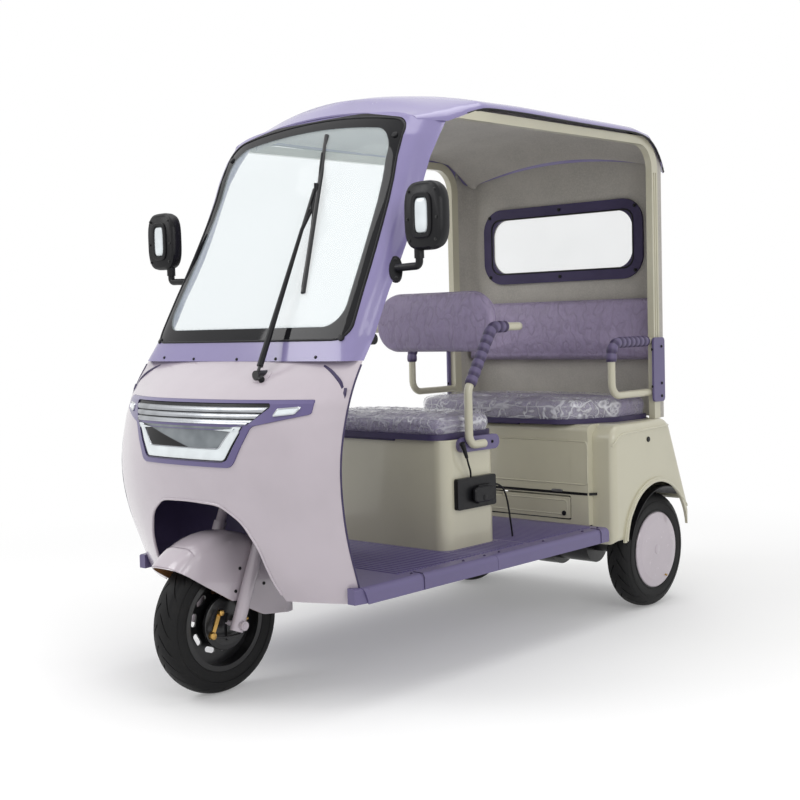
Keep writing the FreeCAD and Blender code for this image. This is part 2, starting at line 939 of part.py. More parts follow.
# The windscreen surround's levels: height, half-width, nose and side edge
SURROUND_LEVEL_SHARES = [
    (0.0, 1.0, 0.0, 0.118), (0.073, 0.978, 0.044, 0.218), (0.214, 0.970, 0.158, 0.334),
    (0.351, 0.965, 0.27, 0.462), (0.489, 0.961, 0.382, 0.574), (0.678, 0.957, 0.522, 0.70),
    (0.800, 0.954, 0.585, 0.80), (0.90, 0.945, 0.68, 0.92), (1.0, 0.90, 0.82, 1.0),
]
SURROUND_PLAN_SHARES = [(0.0, 0.0), (0.4, 0.03), (0.7, 0.12), (0.85, 0.25), (0.94, 0.5), (1.0, 1.0)]


def mirrored_line(places, shares):
    """A smooth line through places and their mirror images, its parameters taken from their shares."""
    along = [0]
    for first, second in zip(shares, shares[1:]):
        along.append(along[-1] + math.dist(first, second))
    mirror = [point(-place.x, place.y, place.z) for place in reversed(places[1:])]
    line = Part.BSplineCurve()
    line.interpolate(Points=mirror + places, Parameters=[-share for share in reversed(along[1:])] + along)
    return line


def evened(level_shares, count):
    """The same smooth run of levels, taken at equal steps of its first share."""
    run = Part.BSplineCurve()
    run.interpolate(Points=[FreeCAD.Vector(*level[1:]) for level in level_shares],
                    Parameters=[level[0] for level in level_shares])
    levels = []
    for step in range(count + 1):
        share = step / count
        place = run.value(share)
        levels.append((share, place.x, place.y, place.z))
    return levels


def plan_line(plan_shares, half_width, nose, edge, height):
    """A smooth line round the front of the vehicle at one height."""
    places = [point(half_width * across, nose + (edge - nose) * back, height) for across, back in plan_shares]
    return mirrored_line(places, plan_shares)


def ring_wire(outside, inside):
    """Two lines closed into one wire by straight ends."""
    ends = [Part.LineSegment(outside.EndPoint, inside.EndPoint),
            Part.LineSegment(inside.StartPoint, outside.StartPoint)]
    inside.reverse()
    return Part.Wire([outside.toShape(), ends[0].toShape(), inside.toShape(), ends[1].toShape()])


def skin(levels, plan_shares, low, span, half_width, front, depth, outer, inner, tail=0):
    """A shell between two offsets inwards from the front skin, lofted through its levels."""
    wires = []
    for height_share, width_share, nose_share, edge_share in evened(levels, LEVEL_COUNT):
        height = low + span * height_share
        nose = front + depth * nose_share
        edge = front + depth * edge_share
        lines = []
        for offset in (outer, inner):
            lines.append(plan_line(plan_shares, half_width * width_share - offset, nose + offset, edge + tail,
                                   height))
        wires.append(ring_wire(*lines))
    return Part.makeLoft(wires, True, True)


def fairing_skin(outer, inner, tail=0):
    front = float(front_axle - size.fairing_nose_reach)
    low = float(fairing_low)
    return skin(FAIRING_LEVEL_SHARES, FAIRING_PLAN_SHARES, low, float(fairing_high) - low,
                float(size.fairing_half_width), front, float(size.fairing_depth), outer, inner, tail)


def surround_skin(outer, inner, tail=0):
    low = float(fairing_high + size.seat_gap)
    front = float(front_axle - size.fairing_nose_reach + size.fairing_depth * FAIRING_LEVEL_SHARES[-1][2])
    return skin(SURROUND_LEVEL_SHARES, SURROUND_PLAN_SHARES, low, float(screen_high) - low,
                float(size.surround_half_width), front, float(size.surround_depth), outer, inner, tail)


def outside_fairing(label):
    """Everything in front of the fairing's inner face, as a block that trims what meets it."""
    clear = float(size.seat_gap)
    reach = float(size.fairing_depth)
    return blended(label, fairing_skin(-reach, float(size.fairing_wall) + clear, clear))


def tool(label, plane, corners, low, high):
    """A prism that only cuts or trims another piece."""
    piece = Piece(label)
    piece.pad(plane, corners, low, high)
    return piece.body


front_limit = front_axle - size.tyre_radius * 2
front_face = front_axle + size.surround_depth * 2


def arch_corners():
    """The wheel arch's outline in the fairing, seen from the front."""
    base = fairing_low
    wide = size.arch_half_width
    high = size.arch_height
    bend = size.arch_round
    right = [(wide, base - over), (wide, base), (wide * 0.935, base + high * 0.24, bend),
             (wide * 0.89, base + high * 0.54, bend), (wide * 0.74, base + high * 0.82, bend * 0.75),
             (wide * 0.48, base + high * 0.98, bend * 0.7)]
    left = [(-corner[0],) + corner[1:] for corner in reversed(right)]
    return right + [(Size(0, "0"), base + high)] + left


def fairing():
    """The moulded nose: a lofted shell with the front wheel's arch and the lamp's opening."""
    shell = blended("fairing_shell", fairing_skin(0, float(size.fairing_wall)))
    arch = tool("arch_tool", "XZ", arch_corners(), front_limit, front_face)
    opened = cut("fairing_arched", shell, arch)
    lamp = tool("lamp_tool", "XZ", lamp_corners(size.seat_gap), front_limit, front_axle + size.fairing_depth)
    return keep(cut("front_fairing", opened, lamp))


def lamp_corners(grow):
    """The lamp housing's outline, seen from the front, grown outwards by a clearance."""
    middle = lamp_level
    tip = size.lamp_half_width + grow
    foot = size.lamp_foot_half_width + grow
    top = middle + size.lamp_rise + grow
    low = middle - size.lamp_drop - grow
    shoulder = middle + size.lamp_rise * 0.3 - grow
    small = size.lamp_round
    broad = size.lamp_foot_round
    notch = middle + size.lamp_rise * 0.62
    right = [(foot, low, broad), (foot * 1.3, shoulder, broad * 0.7), (tip, notch, small), (tip, top, small)]
    return right + mirrored(right)


def lamp():
    """The lamp housing on the nose, its grille strip and its clear lens."""
    front = front_axle + size.fairing_depth
    wall = float(size.fairing_wall)
    proud = float(size.lamp_proud)
    gap = float(size.seat_gap)
    depth = float(size.lamp_depth)
    border = size.lamp_border
    strip = lamp_level + size.lamp_rise * 0.36
    middle = lamp_level
    lens_half = size.lamp_foot_half_width - border
    lens_low = middle - size.lamp_drop + border
    small = size.lamp_round
    lens_right = [(lens_half, lens_low, size.lamp_foot_round * 0.7),
                  (lens_half * 1.28, strip - border, small)]
    lens = lens_right + mirrored(lens_right)
    grille_half = size.lamp_half_width * 0.76
    crest = middle + size.lamp_rise - border * 0.5
    grille_right = [(grille_half * 0.8, strip, small), (grille_half, crest, small)]
    grille = grille_right + mirrored(grille_right)
    housing = common("lamp_ring", blended("lamp_shell", fairing_skin(-proud, depth)),
                     tool("lamp_outline", "XZ", lamp_corners(Size(0, "0")), front_limit, front))
    opening = tool("lens_tool", "XZ", lens, front_limit, front)
    slot = tool("grille_tool", "XZ", grille, front_limit, front)
    keep(cut("lamp_housing", cut("lamp_lens_opening", housing, opening), slot))
    inner_lens = [inset(corner, size.seat_gap, lens_low, strip - border) for corner in lens]
    keep(common("lamp_lens", blended("lens_shell", fairing_skin(gap, depth)),
                tool("lens_outline", "XZ", inner_lens, front_limit, front)))
    strip_corners = [inset(corner, size.seat_gap, strip, crest) for corner in grille]
    keep(common("lamp_grille", blended("grille_shell", fairing_skin(gap, depth)),
                tool("grille_outline", "XZ", strip_corners, front_limit, front)))


def inset(corner, clear, low, high):
    """Draw one corner of an outline inwards by a clearance."""
    across = corner[0] - clear if float(corner[0]) > 0 else corner[0] + clear
    middle = (float(low) + float(high)) / 2
    along = corner[1] - clear if float(corner[1]) > middle else corner[1] + clear
    return (across, along) + tuple(corner[2:])


def glass_corners(grow):
    """The windscreen opening's outline, seen from the front."""
    low = glass_low - grow
    top = glass_low + size.glass_height + grow
    wide = size.glass_bottom_half_width + grow
    narrow = size.glass_top_half_width + grow
    corner = size.glass_corner
    crown = size.glass_height * 0.075
    right = [(wide, low, corner), (narrow, top - crown, corner * 1.4),
             (narrow * 0.5, top - crown * 0.25, size.glass_crown_round)]
    return right + mirrored(right)


def windscreen():
    """The one-piece windscreen and the pillars and header that frame it."""
    frame_shell = blended("surround_shell", surround_skin(0, float(size.surround_wall)))
    opening = tool("glass_tool", "XZ", glass_corners(size.seat_gap), front_limit, front_face)
    framed = cut("surround_opened", frame_shell, opening)
    keep(cut("windscreen_surround", framed, above_roof("surround_trim")))
    wall = float(size.glass_wall)
    sheet = blended("glass_shell", surround_skin(0, wall))
    glass = common("glass_whole", sheet, tool("glass_outline", "XZ", glass_corners(Size(0, "0")), front_limit,
                                              front_face))
    keep(cut("windscreen", glass, above_roof("glass_trim")))


# The roof's cross-sections: place along, half-width, then edge and crown as shares of the rise over its edge
ROOF_SECTION_SHARES = [
    (0.0, 0.822, -0.545, 0.09), (0.06, 0.925, -0.57, 0.70), (0.115, 0.955, -0.27, 0.86),
    (0.165, 0.975, -0.02, 0.92),
    (0.32, 1.0, 0.0, 0.98), (0.52, 1.0, 0.0, 1.0), (0.72, 1.0, 0.02, 0.98), (0.80, 1.0, 0.04, 0.91),
    (0.87, 0.995, -0.08, 0.75), (0.915, 0.985, -0.5, 0.51), (0.955, 0.96, -1.02, 0.09),
    (1.0, 0.90, -1.25, -0.75),
]
ROOF_ARCH_SHARES = [(0.0, 1.0), (0.4, 0.87), (0.7, 0.6), (0.88, 0.38), (0.95, 0.27), (0.985, 0.15),
                    (1.0, 0.0)]


def roof_skin(outer, inner, margin=0):
    """A shell below the roof's outer surface, lofted through its cross-sections."""
    wires = []
    for along_share, width_share, edge_share, crown_share in ROOF_SECTION_SHARES:
        along = float(roof_start) + float(roof_span) * along_share
        half = float(size.roof_half_width) * width_share - margin
        edge = float(roof_edge) + float(size.roof_rise) * edge_share
        crown = float(roof_edge) + float(size.roof_rise) * crown_share
        lines = []
        for offset in (outer, inner):
            places = [point((half - offset) * across, along, edge + (crown - offset - edge) * up)
                      for across, up in ROOF_ARCH_SHARES]
            lines.append(mirrored_line(places, ROOF_ARCH_SHARES))
        wires.append(ring_wire(*lines))
    return Part.makeLoft(wires, True, True)


def roof():
    wall = float(size.roof_wall)
    keep(blended("roof", roof_skin(0, wall)))


def above_roof(label):
    """Everything above the roof's inner face, as a block that trims what meets it."""
    return blended(label, roof_skin(-float(size.roof_half_width), float(size.roof_wall + size.seat_gap)))


def roof_lining():
    """The grey lining under the roof, which stops short of its edges."""
    start = float(size.roof_wall + size.seat_gap)
    end = start + float(size.lining_wall)
    whole = blended("lining_shell", roof_skin(start, end, float(size.lining_margin)))
    first = roof_start + size.lining_lead
    last = roof_start + roof_span - size.lining_margin
    half = size.roof_half_width
    return keep(common("roof_lining", whole, box("lining_extent", (-half, first, 0),
                                                 (half, last, roof_edge * 2))))


def side_frames():
    """The two cream side rails: a rear pillar that bends forward under the roof's edge."""
    piece = Piece("frame_rails")
    front = front_axle + size.rail_front
    back = pillar_start + size.pillar_depth
    foot = body_high + size.seat_gap
    top = roof_edge
    inner = size.rail_corner
    outer = inner + size.rail_height
    corners = [
        (back - size.pillar_depth, foot), (back, foot), (back, top, outer),
        (front, top - size.rail_height * 0.5), (front, top - size.rail_height * 1.5),
        (back - size.pillar_depth, top - size.rail_height, inner),
    ]
    for side in (-1, 1):
        near = size.rail_inner if side > 0 else -(size.rail_inner + size.rail_width)
        piece.pad("YZ", corners, near, near + size.rail_width)
        outside = near + size.rail_width - size.groove_depth if side > 0 else near - over
        for share in (1, 2):
            middle = pillar_start + size.pillar_depth * share / 3
            piece.pocket("YZ", rectangle(middle - size.groove_width / 2, foot + size.groove_margin,
                                         middle + size.groove_width / 2, top - size.groove_margin * 2,
                                         size.groove_width * 0.4), outside, outside + size.groove_depth + over)
    return keep(cut("side_frames", piece.body, above_roof("rail_trim")))


wall_face = pillar_start + size.pillar_depth + size.seat_gap


def rear_wall():
    """The rear of the cabin: an upright panel that curves forward to both pillars, with a window."""
    piece = Piece("wall_panel")
    half = size.wall_half_width
    wall = size.wall_thickness
    corner = size.wall_corner
    start = wall_face
    back = wall_face + size.wall_depth
    piece.pad("XY", [(-half, start), (wall - half, start), (wall - half, back - wall, corner - wall),
                     (half - wall, back - wall, corner - wall), (half - wall, start), (half, start),
                     (half, back, corner), (-half, back, corner)], body_high + size.seat_gap, wall_high)
    inner = size.window_half_width - size.window_border
    piece.pocket("XZ", rectangle(-inner, window_low + size.window_border, inner,
                                 window_low + size.window_height - size.window_border,
                                 size.window_corner), back - wall - over, back + over)
    return keep(cut("rear_wall", piece.body, above_roof("wall_trim")))


panel_face = wall_face + size.wall_depth - size.wall_thickness


def rear_window():
    """A moulded frame clamped on the wall's inner face, and the pane inside the opening."""
    frame = Piece("rear_window_frame")
    outer = size.window_half_width
    low = window_low
    top = low + size.window_height
    border = size.window_border
    corner = size.window_corner
    face = panel_face - size.seat_gap
    frame.pad("XZ", rectangle(-outer, low, outer, top, corner + border * 0.5), face - size.window_proud, face)
    inner = outer - border
    frame.pocket("XZ", rectangle(-inner, low + border, inner, top - border, corner),
                 face - size.window_proud - over,
                 face + over)
    keep(frame.body)
    pane = Piece("rear_window_pane")
    clear = size.seat_gap
    pane.pad("XZ", rectangle(clear - inner, low + border + clear, inner - clear, top - border - clear,
                             corner - clear), panel_face, panel_face + size.pane_thickness)
    return keep(pane.body)


floor_front = front_axle + size.floor_front
floor_back = tub_start - size.seat_gap


def floor_panels():
    """Two ribbed floor mouldings with rolled sills, open round the front wheel's well."""
    piece = Piece("floor_mouldings")
    half = size.floor_half_width
    top = floor_top
    low = top - size.sill_depth
    sheet = size.floor_sheet
    split = front_axle + size.floor_split
    inner = half - sheet
    outside = [(-half, low), (-half, top, size.sill_round), (half, top, size.sill_round), (half, low)]
    inside = [(inner, low), (inner, top - sheet, size.sill_round - sheet),
              (-inner, top - sheet, size.sill_round - sheet), (-inner, low)]
    for first, last in ((floor_front, split), (split + size.floor_split_gap, floor_back)):
        piece.pad("XZ", outside + inside, first, last)
    tube = size.down_tube_radius
    piece.bore("XY", Size(0, "0"), front_axle + size.well_radius + size.cross_tube + tube,
               tube + size.seat_gap,
               top - sheet - over, top + over)
    well = size.well_radius + size.seat_gap
    corner = size.well_radius * 0.62 + size.seat_gap
    piece.pocket("XY", [(-well, floor_front - over), (well, floor_front - over),
                        (well, front_axle + well, corner),
                        (-well, front_axle + well, corner)], low - over, top + over)
    return keep(cut("floor_panels", piece.body, outside_fairing("floor_trim")))


def wheel_well():
    """The dark shell that closes the cabin off from the front wheel, trimmed to the fairing."""
    piece = Piece("well_shell")
    outer = size.well_radius
    wall = size.well_wall
    low = floor_top - size.sill_depth
    top = well_high
    corner = outer * 0.62
    front = -size.fairing_nose_reach
    piece.pad("XY", [(-outer, front), (outer, front), (outer, outer, corner), (-outer, outer, corner)], low,
              top)
    inner = outer - wall
    piece.pocket("XY", [(-inner, front - over), (inner, front - over), (inner, inner, corner - wall),
                        (-inner, inner, corner - wall)], low - over, top - wall)
    slope = (top - axle_height) * math.tan(rake)
    piece.bore("XY", Size(0, "0"), slope, size.head_radius * 1.6, top - wall - over, top + over)
    move(piece.body, Size(0, "0"), front_axle, Size(0, "0"))
    return keep(cut("wheel_well", piece.body, outside_fairing("well_trim")))


def column_shroud():
    """The hollow cover over the steering head and the down tube, behind the wheel's shell."""
    piece = Piece("column_shroud")
    half = size.shroud_half_width
    wall = size.shroud_wall
    near = size.well_radius + size.seat_gap
    back = near + size.shroud_depth
    base = floor_top
    shelf = well_high + size.seat_gap
    top = floor_top + size.shroud_height
    slope = (top - axle_height) * math.tan(rake)
    front_low = (shelf - axle_height) * math.tan(rake) - size.head_radius * 2.4
    front_top = slope - size.head_radius * 2.8
    back_top = slope + size.head_radius * 2.6
    knee = size.shroud_knee_round
    knee_height = base + (shelf - base) * size.shroud_knee_share
    corner = size.shroud_round
    piece.pad("YZ", [(near, base), (back, base), (back, knee_height, knee),
                     (back_top, top, corner),
                     (front_top, top, corner), (front_low, shelf), (near, shelf)], -half, half)
    inner = half - wall
    piece.pocket("YZ", [(near + wall, base - over), (back - wall, base - over),
                        (back - wall, knee_height, knee - wall),
                        (back_top - wall, top - wall, corner - wall),
                        (front_top + wall, top - wall, corner - wall),
                        (front_low + wall, shelf - over),
                        (near + wall, shelf - over)], -inner, inner)
    piece.bore("XY", Size(0, "0"), slope, size.stem_radius * 2, top - wall - over, top + over)
    move(piece.body, Size(0, "0"), front_axle, Size(0, "0"))
    return keep(piece.body)


def dash_panel():
    """The inner panel behind the nose, trimmed to the fairing at its side edges."""
    piece = Piece("dash_board")
    low = fairing_high - size.dash_height
    high = fairing_high
    wall = size.fairing_wall
    back = size.dash_depth
    half = size.fairing_half_width
    lean = size.dash_lean
    piece.pad("YZ", [(back - lean, low), (back - lean + wall, low), (back + wall, high), (back, high)],
              -half, half)
    move(piece.body, Size(0, "0"), front_axle, Size(0, "0"))
    return keep(cut("dash_panel", piece.body, outside_fairing("dash_trim")))


def chassis_frame():
    """The welded frame: two floor rails, cross tubes, a down tube and the steering head."""
    parts = []
    top = floor_top - size.floor_sheet
    low = top - size.rail_tube_height
    half = size.rail_spacing / 2
    width = size.rail_tube_width / 2
    start = front_axle + size.well_radius + size.cross_tube
    back = rear_axle + size.rear_overhang - size.sill_width
    for side in (-1, 1):
        parts.append(box(f"frame_rail_{side}", (half * side - width, start, low),
                         (half * side + width, back, top)))
    span = back - start
    for index, share in enumerate((0, 0.3, 0.62, 0.8, 0.97)):
        place = start + span * share
        parts.append(box(f"frame_cross_{index}", (-half - width, place, low + size.cross_tube * 0.2),
                         (half + width, place + size.cross_tube, low + size.cross_tube * 1.2)))
    bumper = half + width * 4
    parts.append(box("frame_bumper", (-bumper, back, low), (bumper, rear_axle + size.rear_overhang, top)))
    head_low = steer_point(size.stanchion_length + size.head_rise)
    parts.append(cylinder("head_tube", size.head_radius, size.head_length, head_low, STEER_AXIS))
    neck = steer_point(size.stanchion_length + size.head_rise + size.head_length * 0.5)
    knee = (Size(0, "0"), start + size.down_tube_radius, top + size.head_length)
    foot = (Size(0, "0"), start + size.down_tube_radius, low + size.tube_wall)
    tube = swept_tube([neck, (Size(0, "0"), knee[1], neck[2] - size.head_length * 0.3), foot],
                      size.down_tube_radius,
                      [size.down_tube_radius * 3])
    parts.append(blended("down_tube", tube))
    solid = fuse("frame_solid", parts)
    stem = cylinder("head_bore", size.stem_radius + size.running_clearance, size.stem_length,
                    steer_point(size.stanchion_length), STEER_AXIS)
    bored = cut("frame_bored", solid, stem)
    holes = Piece("plate_holes")
    end = rear_axle + size.rear_overhang
    for side in (-1, 1):
        holes.disc("XZ", size.plate_hole_spacing / 2 * side, (low + top) / 2, size.plate_hole_radius,
                   back - over, end + over)
    return keep(cut("chassis_frame", bored, holes.body))


def seat_box():
    """The cream moulded box under the driver's seat, hollow and open at its top."""
    piece = Piece("seat_box")
    half = size.box_half_width
    front = front_axle + size.box_front
    back = front + size.box_depth
    low = floor_top
    top = low + size.box_height
    corner = size.box_corner
    wall = size.box_wall
    piece.pad("XY", rectangle(-half, front, half, back, corner), low, top)
    piece.pocket("XY", rectangle(wall - half, front + wall, half - wall, back - wall, corner - wall),
                 low - over, top + over)
    return keep(piece.body)


def hinge_barrel(tray, wall_face_place, low):
    """The round barrel under a lid's front edge, just in front of the wall that it turns on."""
    radius = size.hinge_radius
    tray.disc("YZ", wall_face_place - radius - size.hinge_gap, low - radius / 2, radius,
              -size.hinge_half_length,
              size.hinge_half_length)


def front_seat():
    """The driver's seat lid: a dark tray with its cushion."""
    half = size.box_half_width - size.tray_overhang
    front = front_axle + size.box_front - size.tray_overhang
    back = front_axle + size.box_front + size.box_depth + size.tray_overhang
    low = floor_top + size.box_height + size.seat_gap
    top = low + size.tray_height
    tray = Piece("front_seat_tray")
    tray.pad("XY", rectangle(-half, front, half, back, size.cushion_corner), low, top)
    hinge_barrel(tray, front_axle + size.box_front, low)
    keep(tray.body)
    inset_by = size.cushion_inset
    cushion = Piece("front_cushion")
    cushion.pad("XY", rectangle(inset_by - half, front + inset_by, half - inset_by, back - inset_by,
                                size.cushion_corner - inset_by),
                top + size.seat_gap, top + size.seat_gap + size.front_cushion_height)
    return keep(cushion.body)


def front_backrest():
    """The driver's low backrest pad and the bent arms and brackets that carry it."""
    half = size.front_pad_half_width
    low = seat_level + size.front_pad_rise
    top = low + size.front_pad_height
    front = box_start + size.front_pad_lead
    back = front + size.front_pad_thickness
    pad = Piece("front_backrest")
    under = size.front_pad_low_round
    over_round = size.front_pad_high_round
    pad.pad("XZ", [(-half, low, under), (half, low, under), (half, top, over_round),
                   (-half, top, over_round)],
            front, back)
    keep(pad.body)
    radius = size.arm_radius
    spread = size.box_half_width + size.bracket_thickness + size.seat_gap * 2 + radius
    shelf = floor_top + size.box_height - size.tray_height
    middle = low + size.front_pad_height * 0.4
    bar = back + radius + size.seat_gap
    bracket = box_start + size.bracket_lead
    column = bracket + size.arm_column
    side_places = [(bracket + size.arm_foot, shelf), (column, shelf), (column, shelf + size.arm_rise),
                   (bracket + size.arm_shoulder, middle), (bar, middle)]
    points = [(spread, y, z) for y, z in side_places] + [(-spread, y, z) for y, z in reversed(side_places)]
    bend = size.arm_bend
    tube = swept_tube(points, radius, [bend * 0.7, bend, bend, bend * 0.8, bend * 0.8, bend, bend,
                                       bend * 0.7])
    return keep(blended("backrest_arms", tube))


def seat_brackets():
    """The oblong plates on the seat box that the backrest's arms are bolted to."""
    piece = Piece("seat_brackets")
    front = box_start + size.bracket_lead
    high = floor_top + size.box_height - size.tray_height + size.bracket_height / 2
    low = high - size.bracket_height
    near = size.box_half_width + size.seat_gap
    corners = rectangle(front, low, front + size.bracket_length, high, size.bracket_height * 0.49)
    for side in (-1, 1):
        start = near if side > 0 else -(near + size.bracket_thickness)
        piece.pad("YZ", corners, start, start + size.bracket_thickness)
    return keep(piece.body)


def body_block(label, inset_by):
    """The rear body's outer form, or its inner form when drawn inwards by a wall."""
    piece = Piece(label)
    half = size.body_half_width - inset_by
    front = body_start + inset_by
    back = body_end - inset_by
    low = body_low
    top = body_high - inset_by
    shoulder = body_start + size.shoulder_length
    edge = size.body_edge - inset_by
    solid = float(inset_by) == 0
    low_edge = low if solid else low - over
    piece.pad("YZ", [(front, low_edge), (front, top, edge * 2.4), (shoulder, top, edge * 2.4),
                     (back, top - size.tail_slope_drop, edge * 3),
                     (back - size.tail_tuck, low_edge)], -half, half)
    piece.fillet(lambda side: is_side(side, half), edge)
    tub = size.tub_half_width - inset_by
    base = floor_top if solid else floor_top - over
    piece.pad("YZ", [(tub_start + inset_by, base), (shoulder, base), (shoulder, top),
                     (tub_start + inset_by, top, edge)], -tub, tub)
    return piece


def rear_body():
    """The cream rear tub with its two fenders: hollow, open at its base, hatch, flap and arches."""
    outer = body_block("body_outer", Size(0, "0"))
    inner = body_block("body_inner", size.body_wall)
    shell = cut("body_shell", outer.body, inner.body)
    openings = Piece("body_openings")
    half = size.body_half_width
    outer_face = half - size.body_wall
    for side in (-1, 1):
        near = size.arch_inner if side > 0 else -outer_face
        openings.disc("YZ", rear_axle, axle_height, size.liner_radius + size.seat_gap, near,
                      near + outer_face - size.arch_inner)
        near = outer_face if side > 0 else -half - over
        openings.disc("YZ", rear_axle - size.arch_set_forward, axle_height + size.arch_set_up,
                      size.arch_radius, near,
                      near + size.body_wall + over)
    hatch = size.tub_half_width - size.hatch_margin
    start = body_start + size.hatch_margin
    openings.pad("XY", rectangle(-hatch, start, hatch, start + size.shoulder_length - size.hatch_margin * 2,
                                 size.hatch_round),
                 body_high - over, body_high + over)
    rails = size.rail_spacing / 2 + size.rail_tube_width
    openings.pad("XZ", rectangle(-rails, body_low - over, rails, floor_top),
                 body_start - over, body_start + over)
    openings.pad("XZ", rectangle(-rails, body_low - over, rails, floor_top),
                 body_end - over * 2, body_end + over)
    face = tub_start
    openings.pad("XZ", rectangle(-size.flap_half_width, flap_low, size.flap_half_width,
                                 flap_low + size.flap_height, size.flap_round), face - over, face + over)
    openings.pad("XZ", rectangle(-size.flap_half_width, flap_low + size.flap_height + size.inset_margin,
                                 size.flap_half_width, body_high - size.body_edge - size.inset_margin,
                                 size.inset_round), face - over, face + size.inset_depth)
    opened = cut("body_opened", shell, openings.body)
    return keep(fuse("rear_body", [opened, arch_lips()]))


def arch_lips():
    """The flared lip round each rear wheel's arch."""
    piece = Piece("arch_lips")
    outer = size.arch_radius + size.arch_lip_width
    middle = rear_axle - size.arch_set_forward
    level = axle_height + size.arch_set_up
    half = size.body_half_width
    wall = size.body_wall / 2
    for side in (-1, 1):
        near = half - wall if side > 0 else -half - size.arch_lip_proud
        far = near + wall + size.arch_lip_proud
        piece.disc("YZ", middle, level, outer, near, far)
        piece.bore("YZ", middle, level, size.arch_radius, near, far)
    low = level - outer - over
    piece.pocket("YZ", rectangle(middle - outer - over, low, middle + outer + over, body_low), -half - over,
                 half + over)
    back = body_end - size.tail_tuck * 2
    piece.pocket("YZ", rectangle(back, low, middle + outer + over, level + outer), -half - over, half + over)
    return piece.body


def storage_flap():
    """The flap low in the rear body's front, hinged along its bottom edge."""
    piece = Piece("storage_flap")
    gap = size.flap_gap
    half = size.flap_half_width - gap
    low = flap_low + gap
    top = flap_low + size.flap_height - gap
    face = tub_start
    piece.pad("XZ", rectangle(-half, low, half, top, size.flap_round - size.pin_radius), face,
              face + size.flap_thickness)
    reach = size.flap_half_width - size.seat_gap
    radius = size.pin_radius
    piece.disc("YZ", face + radius * 1.5, low + radius * 2, radius, half - over, reach)
    piece.disc("YZ", face + radius * 1.5, low + radius * 2, radius, -reach, over - half)
    grip = size.flap_thickness * 0.5
    piece.pocket("XZ", rectangle(half * -0.12, top - grip * 3, half * 0.12, top - grip, grip * 0.9),
                 face - over,
                 face + grip)
    return keep(piece.body)


def is_side(edge, half):
    """Whether an edge borders one of the two flat sides."""
    bounds = edge.BoundBox
    return bounds.XMax - bounds.XMin < 1e-3 and abs(abs(bounds.XMax) - float(half)) < 1e-3


def arch_liners():
    """Black inner fenders that follow the rear wheels."""
    piece = Piece("arch_liners")
    outer = size.liner_radius
    inner = outer - size.liner_wall
    low = body_low - axle_height
    wide = size.body_half_width - size.body_wall - size.seat_gap - size.arch_inner
    for side in (-1, 1):
        near = size.arch_inner if side > 0 else -size.arch_inner - wide
        piece.disc("YZ", Size(0, "0"), Size(0, "0"), outer, near, near + wide)
        hollow = near + size.liner_wall if side > 0 else near - over
        piece.bore("YZ", Size(0, "0"), Size(0, "0"), inner, hollow, hollow + wide + over - size.liner_wall)
    piece.pocket("YZ", rectangle(-outer - over, -outer - over, outer + over, low), -size.body_half_width,
                 size.body_half_width)
    piece.pocket("YZ", rectangle(size.liner_reach, -over, outer + over, outer + over), -size.body_half_width,
                 size.body_half_width)
    move(piece.body, Size(0, "0"), rear_axle, axle_height)
    return keep(piece.body)


def bench_corners(inset_by):
    """The bench's plan with its wide front corners, drawn inwards by a margin."""
    narrow = size.rear_tray_front_half_width - inset_by
    wide = size.rear_tray_half_width - inset_by
    front = tub_start - size.rear_tray_lead + inset_by
    back = front + size.rear_tray_depth - inset_by * 2
    corner = size.cushion_corner - inset_by
    right = [(narrow, front, corner * 3), (wide, front + size.rear_tray_corner_run, corner * 3),
             (wide, back, corner)]
    return right + mirrored(right)


def rear_seat():
    """The passengers' bench lid with its cushion, and the backrest on the wall."""
    low = body_high + size.seat_gap
    top = low + size.rear_tray_height
    tray = Piece("rear_seat_tray")
    tray.pad("XY", bench_corners(Size(0, "0")), low, top)
    hinge_barrel(tray, tub_start, low)
    keep(tray.body)
    cushion = Piece("rear_cushion")
    cushion.pad("XY", bench_corners(size.cushion_inset), top + size.seat_gap,
                top + size.seat_gap + size.rear_cushion_height)
    keep(cushion.body)
    pad = Piece("rear_backrest")
    wide = size.rear_pad_half_width
    low = body_high + size.rear_pad_rise
    high = low + size.rear_pad_height
    face = panel_face - size.seat_gap
    near = face - size.rear_pad_thickness
    pad.pad("XY", [(-wide, near, size.rear_pad_round), (wide, near, size.rear_pad_round),
                   (wide, face, size.rear_pad_corner),
                   (-wide, face, size.rear_pad_corner)], low, high)
    return keep(pad.body)


def armrests():
    """A cream loop on each side of the bench, bent from one tube."""
    tubes = []
    face = pillar_start - size.seat_gap
    front = pillar_start - size.armrest_length
    for side in (-1, 1):
        across = size.armrest_spread * side
        points = [(across, face, armrest_low), (across, front, armrest_low),
                  (across, front, armrest_low + size.armrest_height),
                  (across, face, armrest_low + size.armrest_height)]
        tubes.append(swept_tube(points, size.arm_radius, [size.arm_bend] * 2))
    return keep(blended("armrests", Part.makeCompound(tubes)))


def armrest_plates():
    """The purple plates on the pillars' outer sides that brace the armrests."""
    piece = Piece("armrest_plates")
    front = pillar_start - size.plate_thickness * 2
    corners = rectangle(front, plate_low, front + size.plate_depth, plate_low + size.plate_height,
                        size.plate_round)
    near = size.rail_inner + size.rail_width + size.seat_gap
    for side in (-1, 1):
        start = near if side > 0 else -(near + size.plate_thickness)
        piece.pad("YZ", corners, start, start + size.plate_thickness)
    return keep(piece.body)


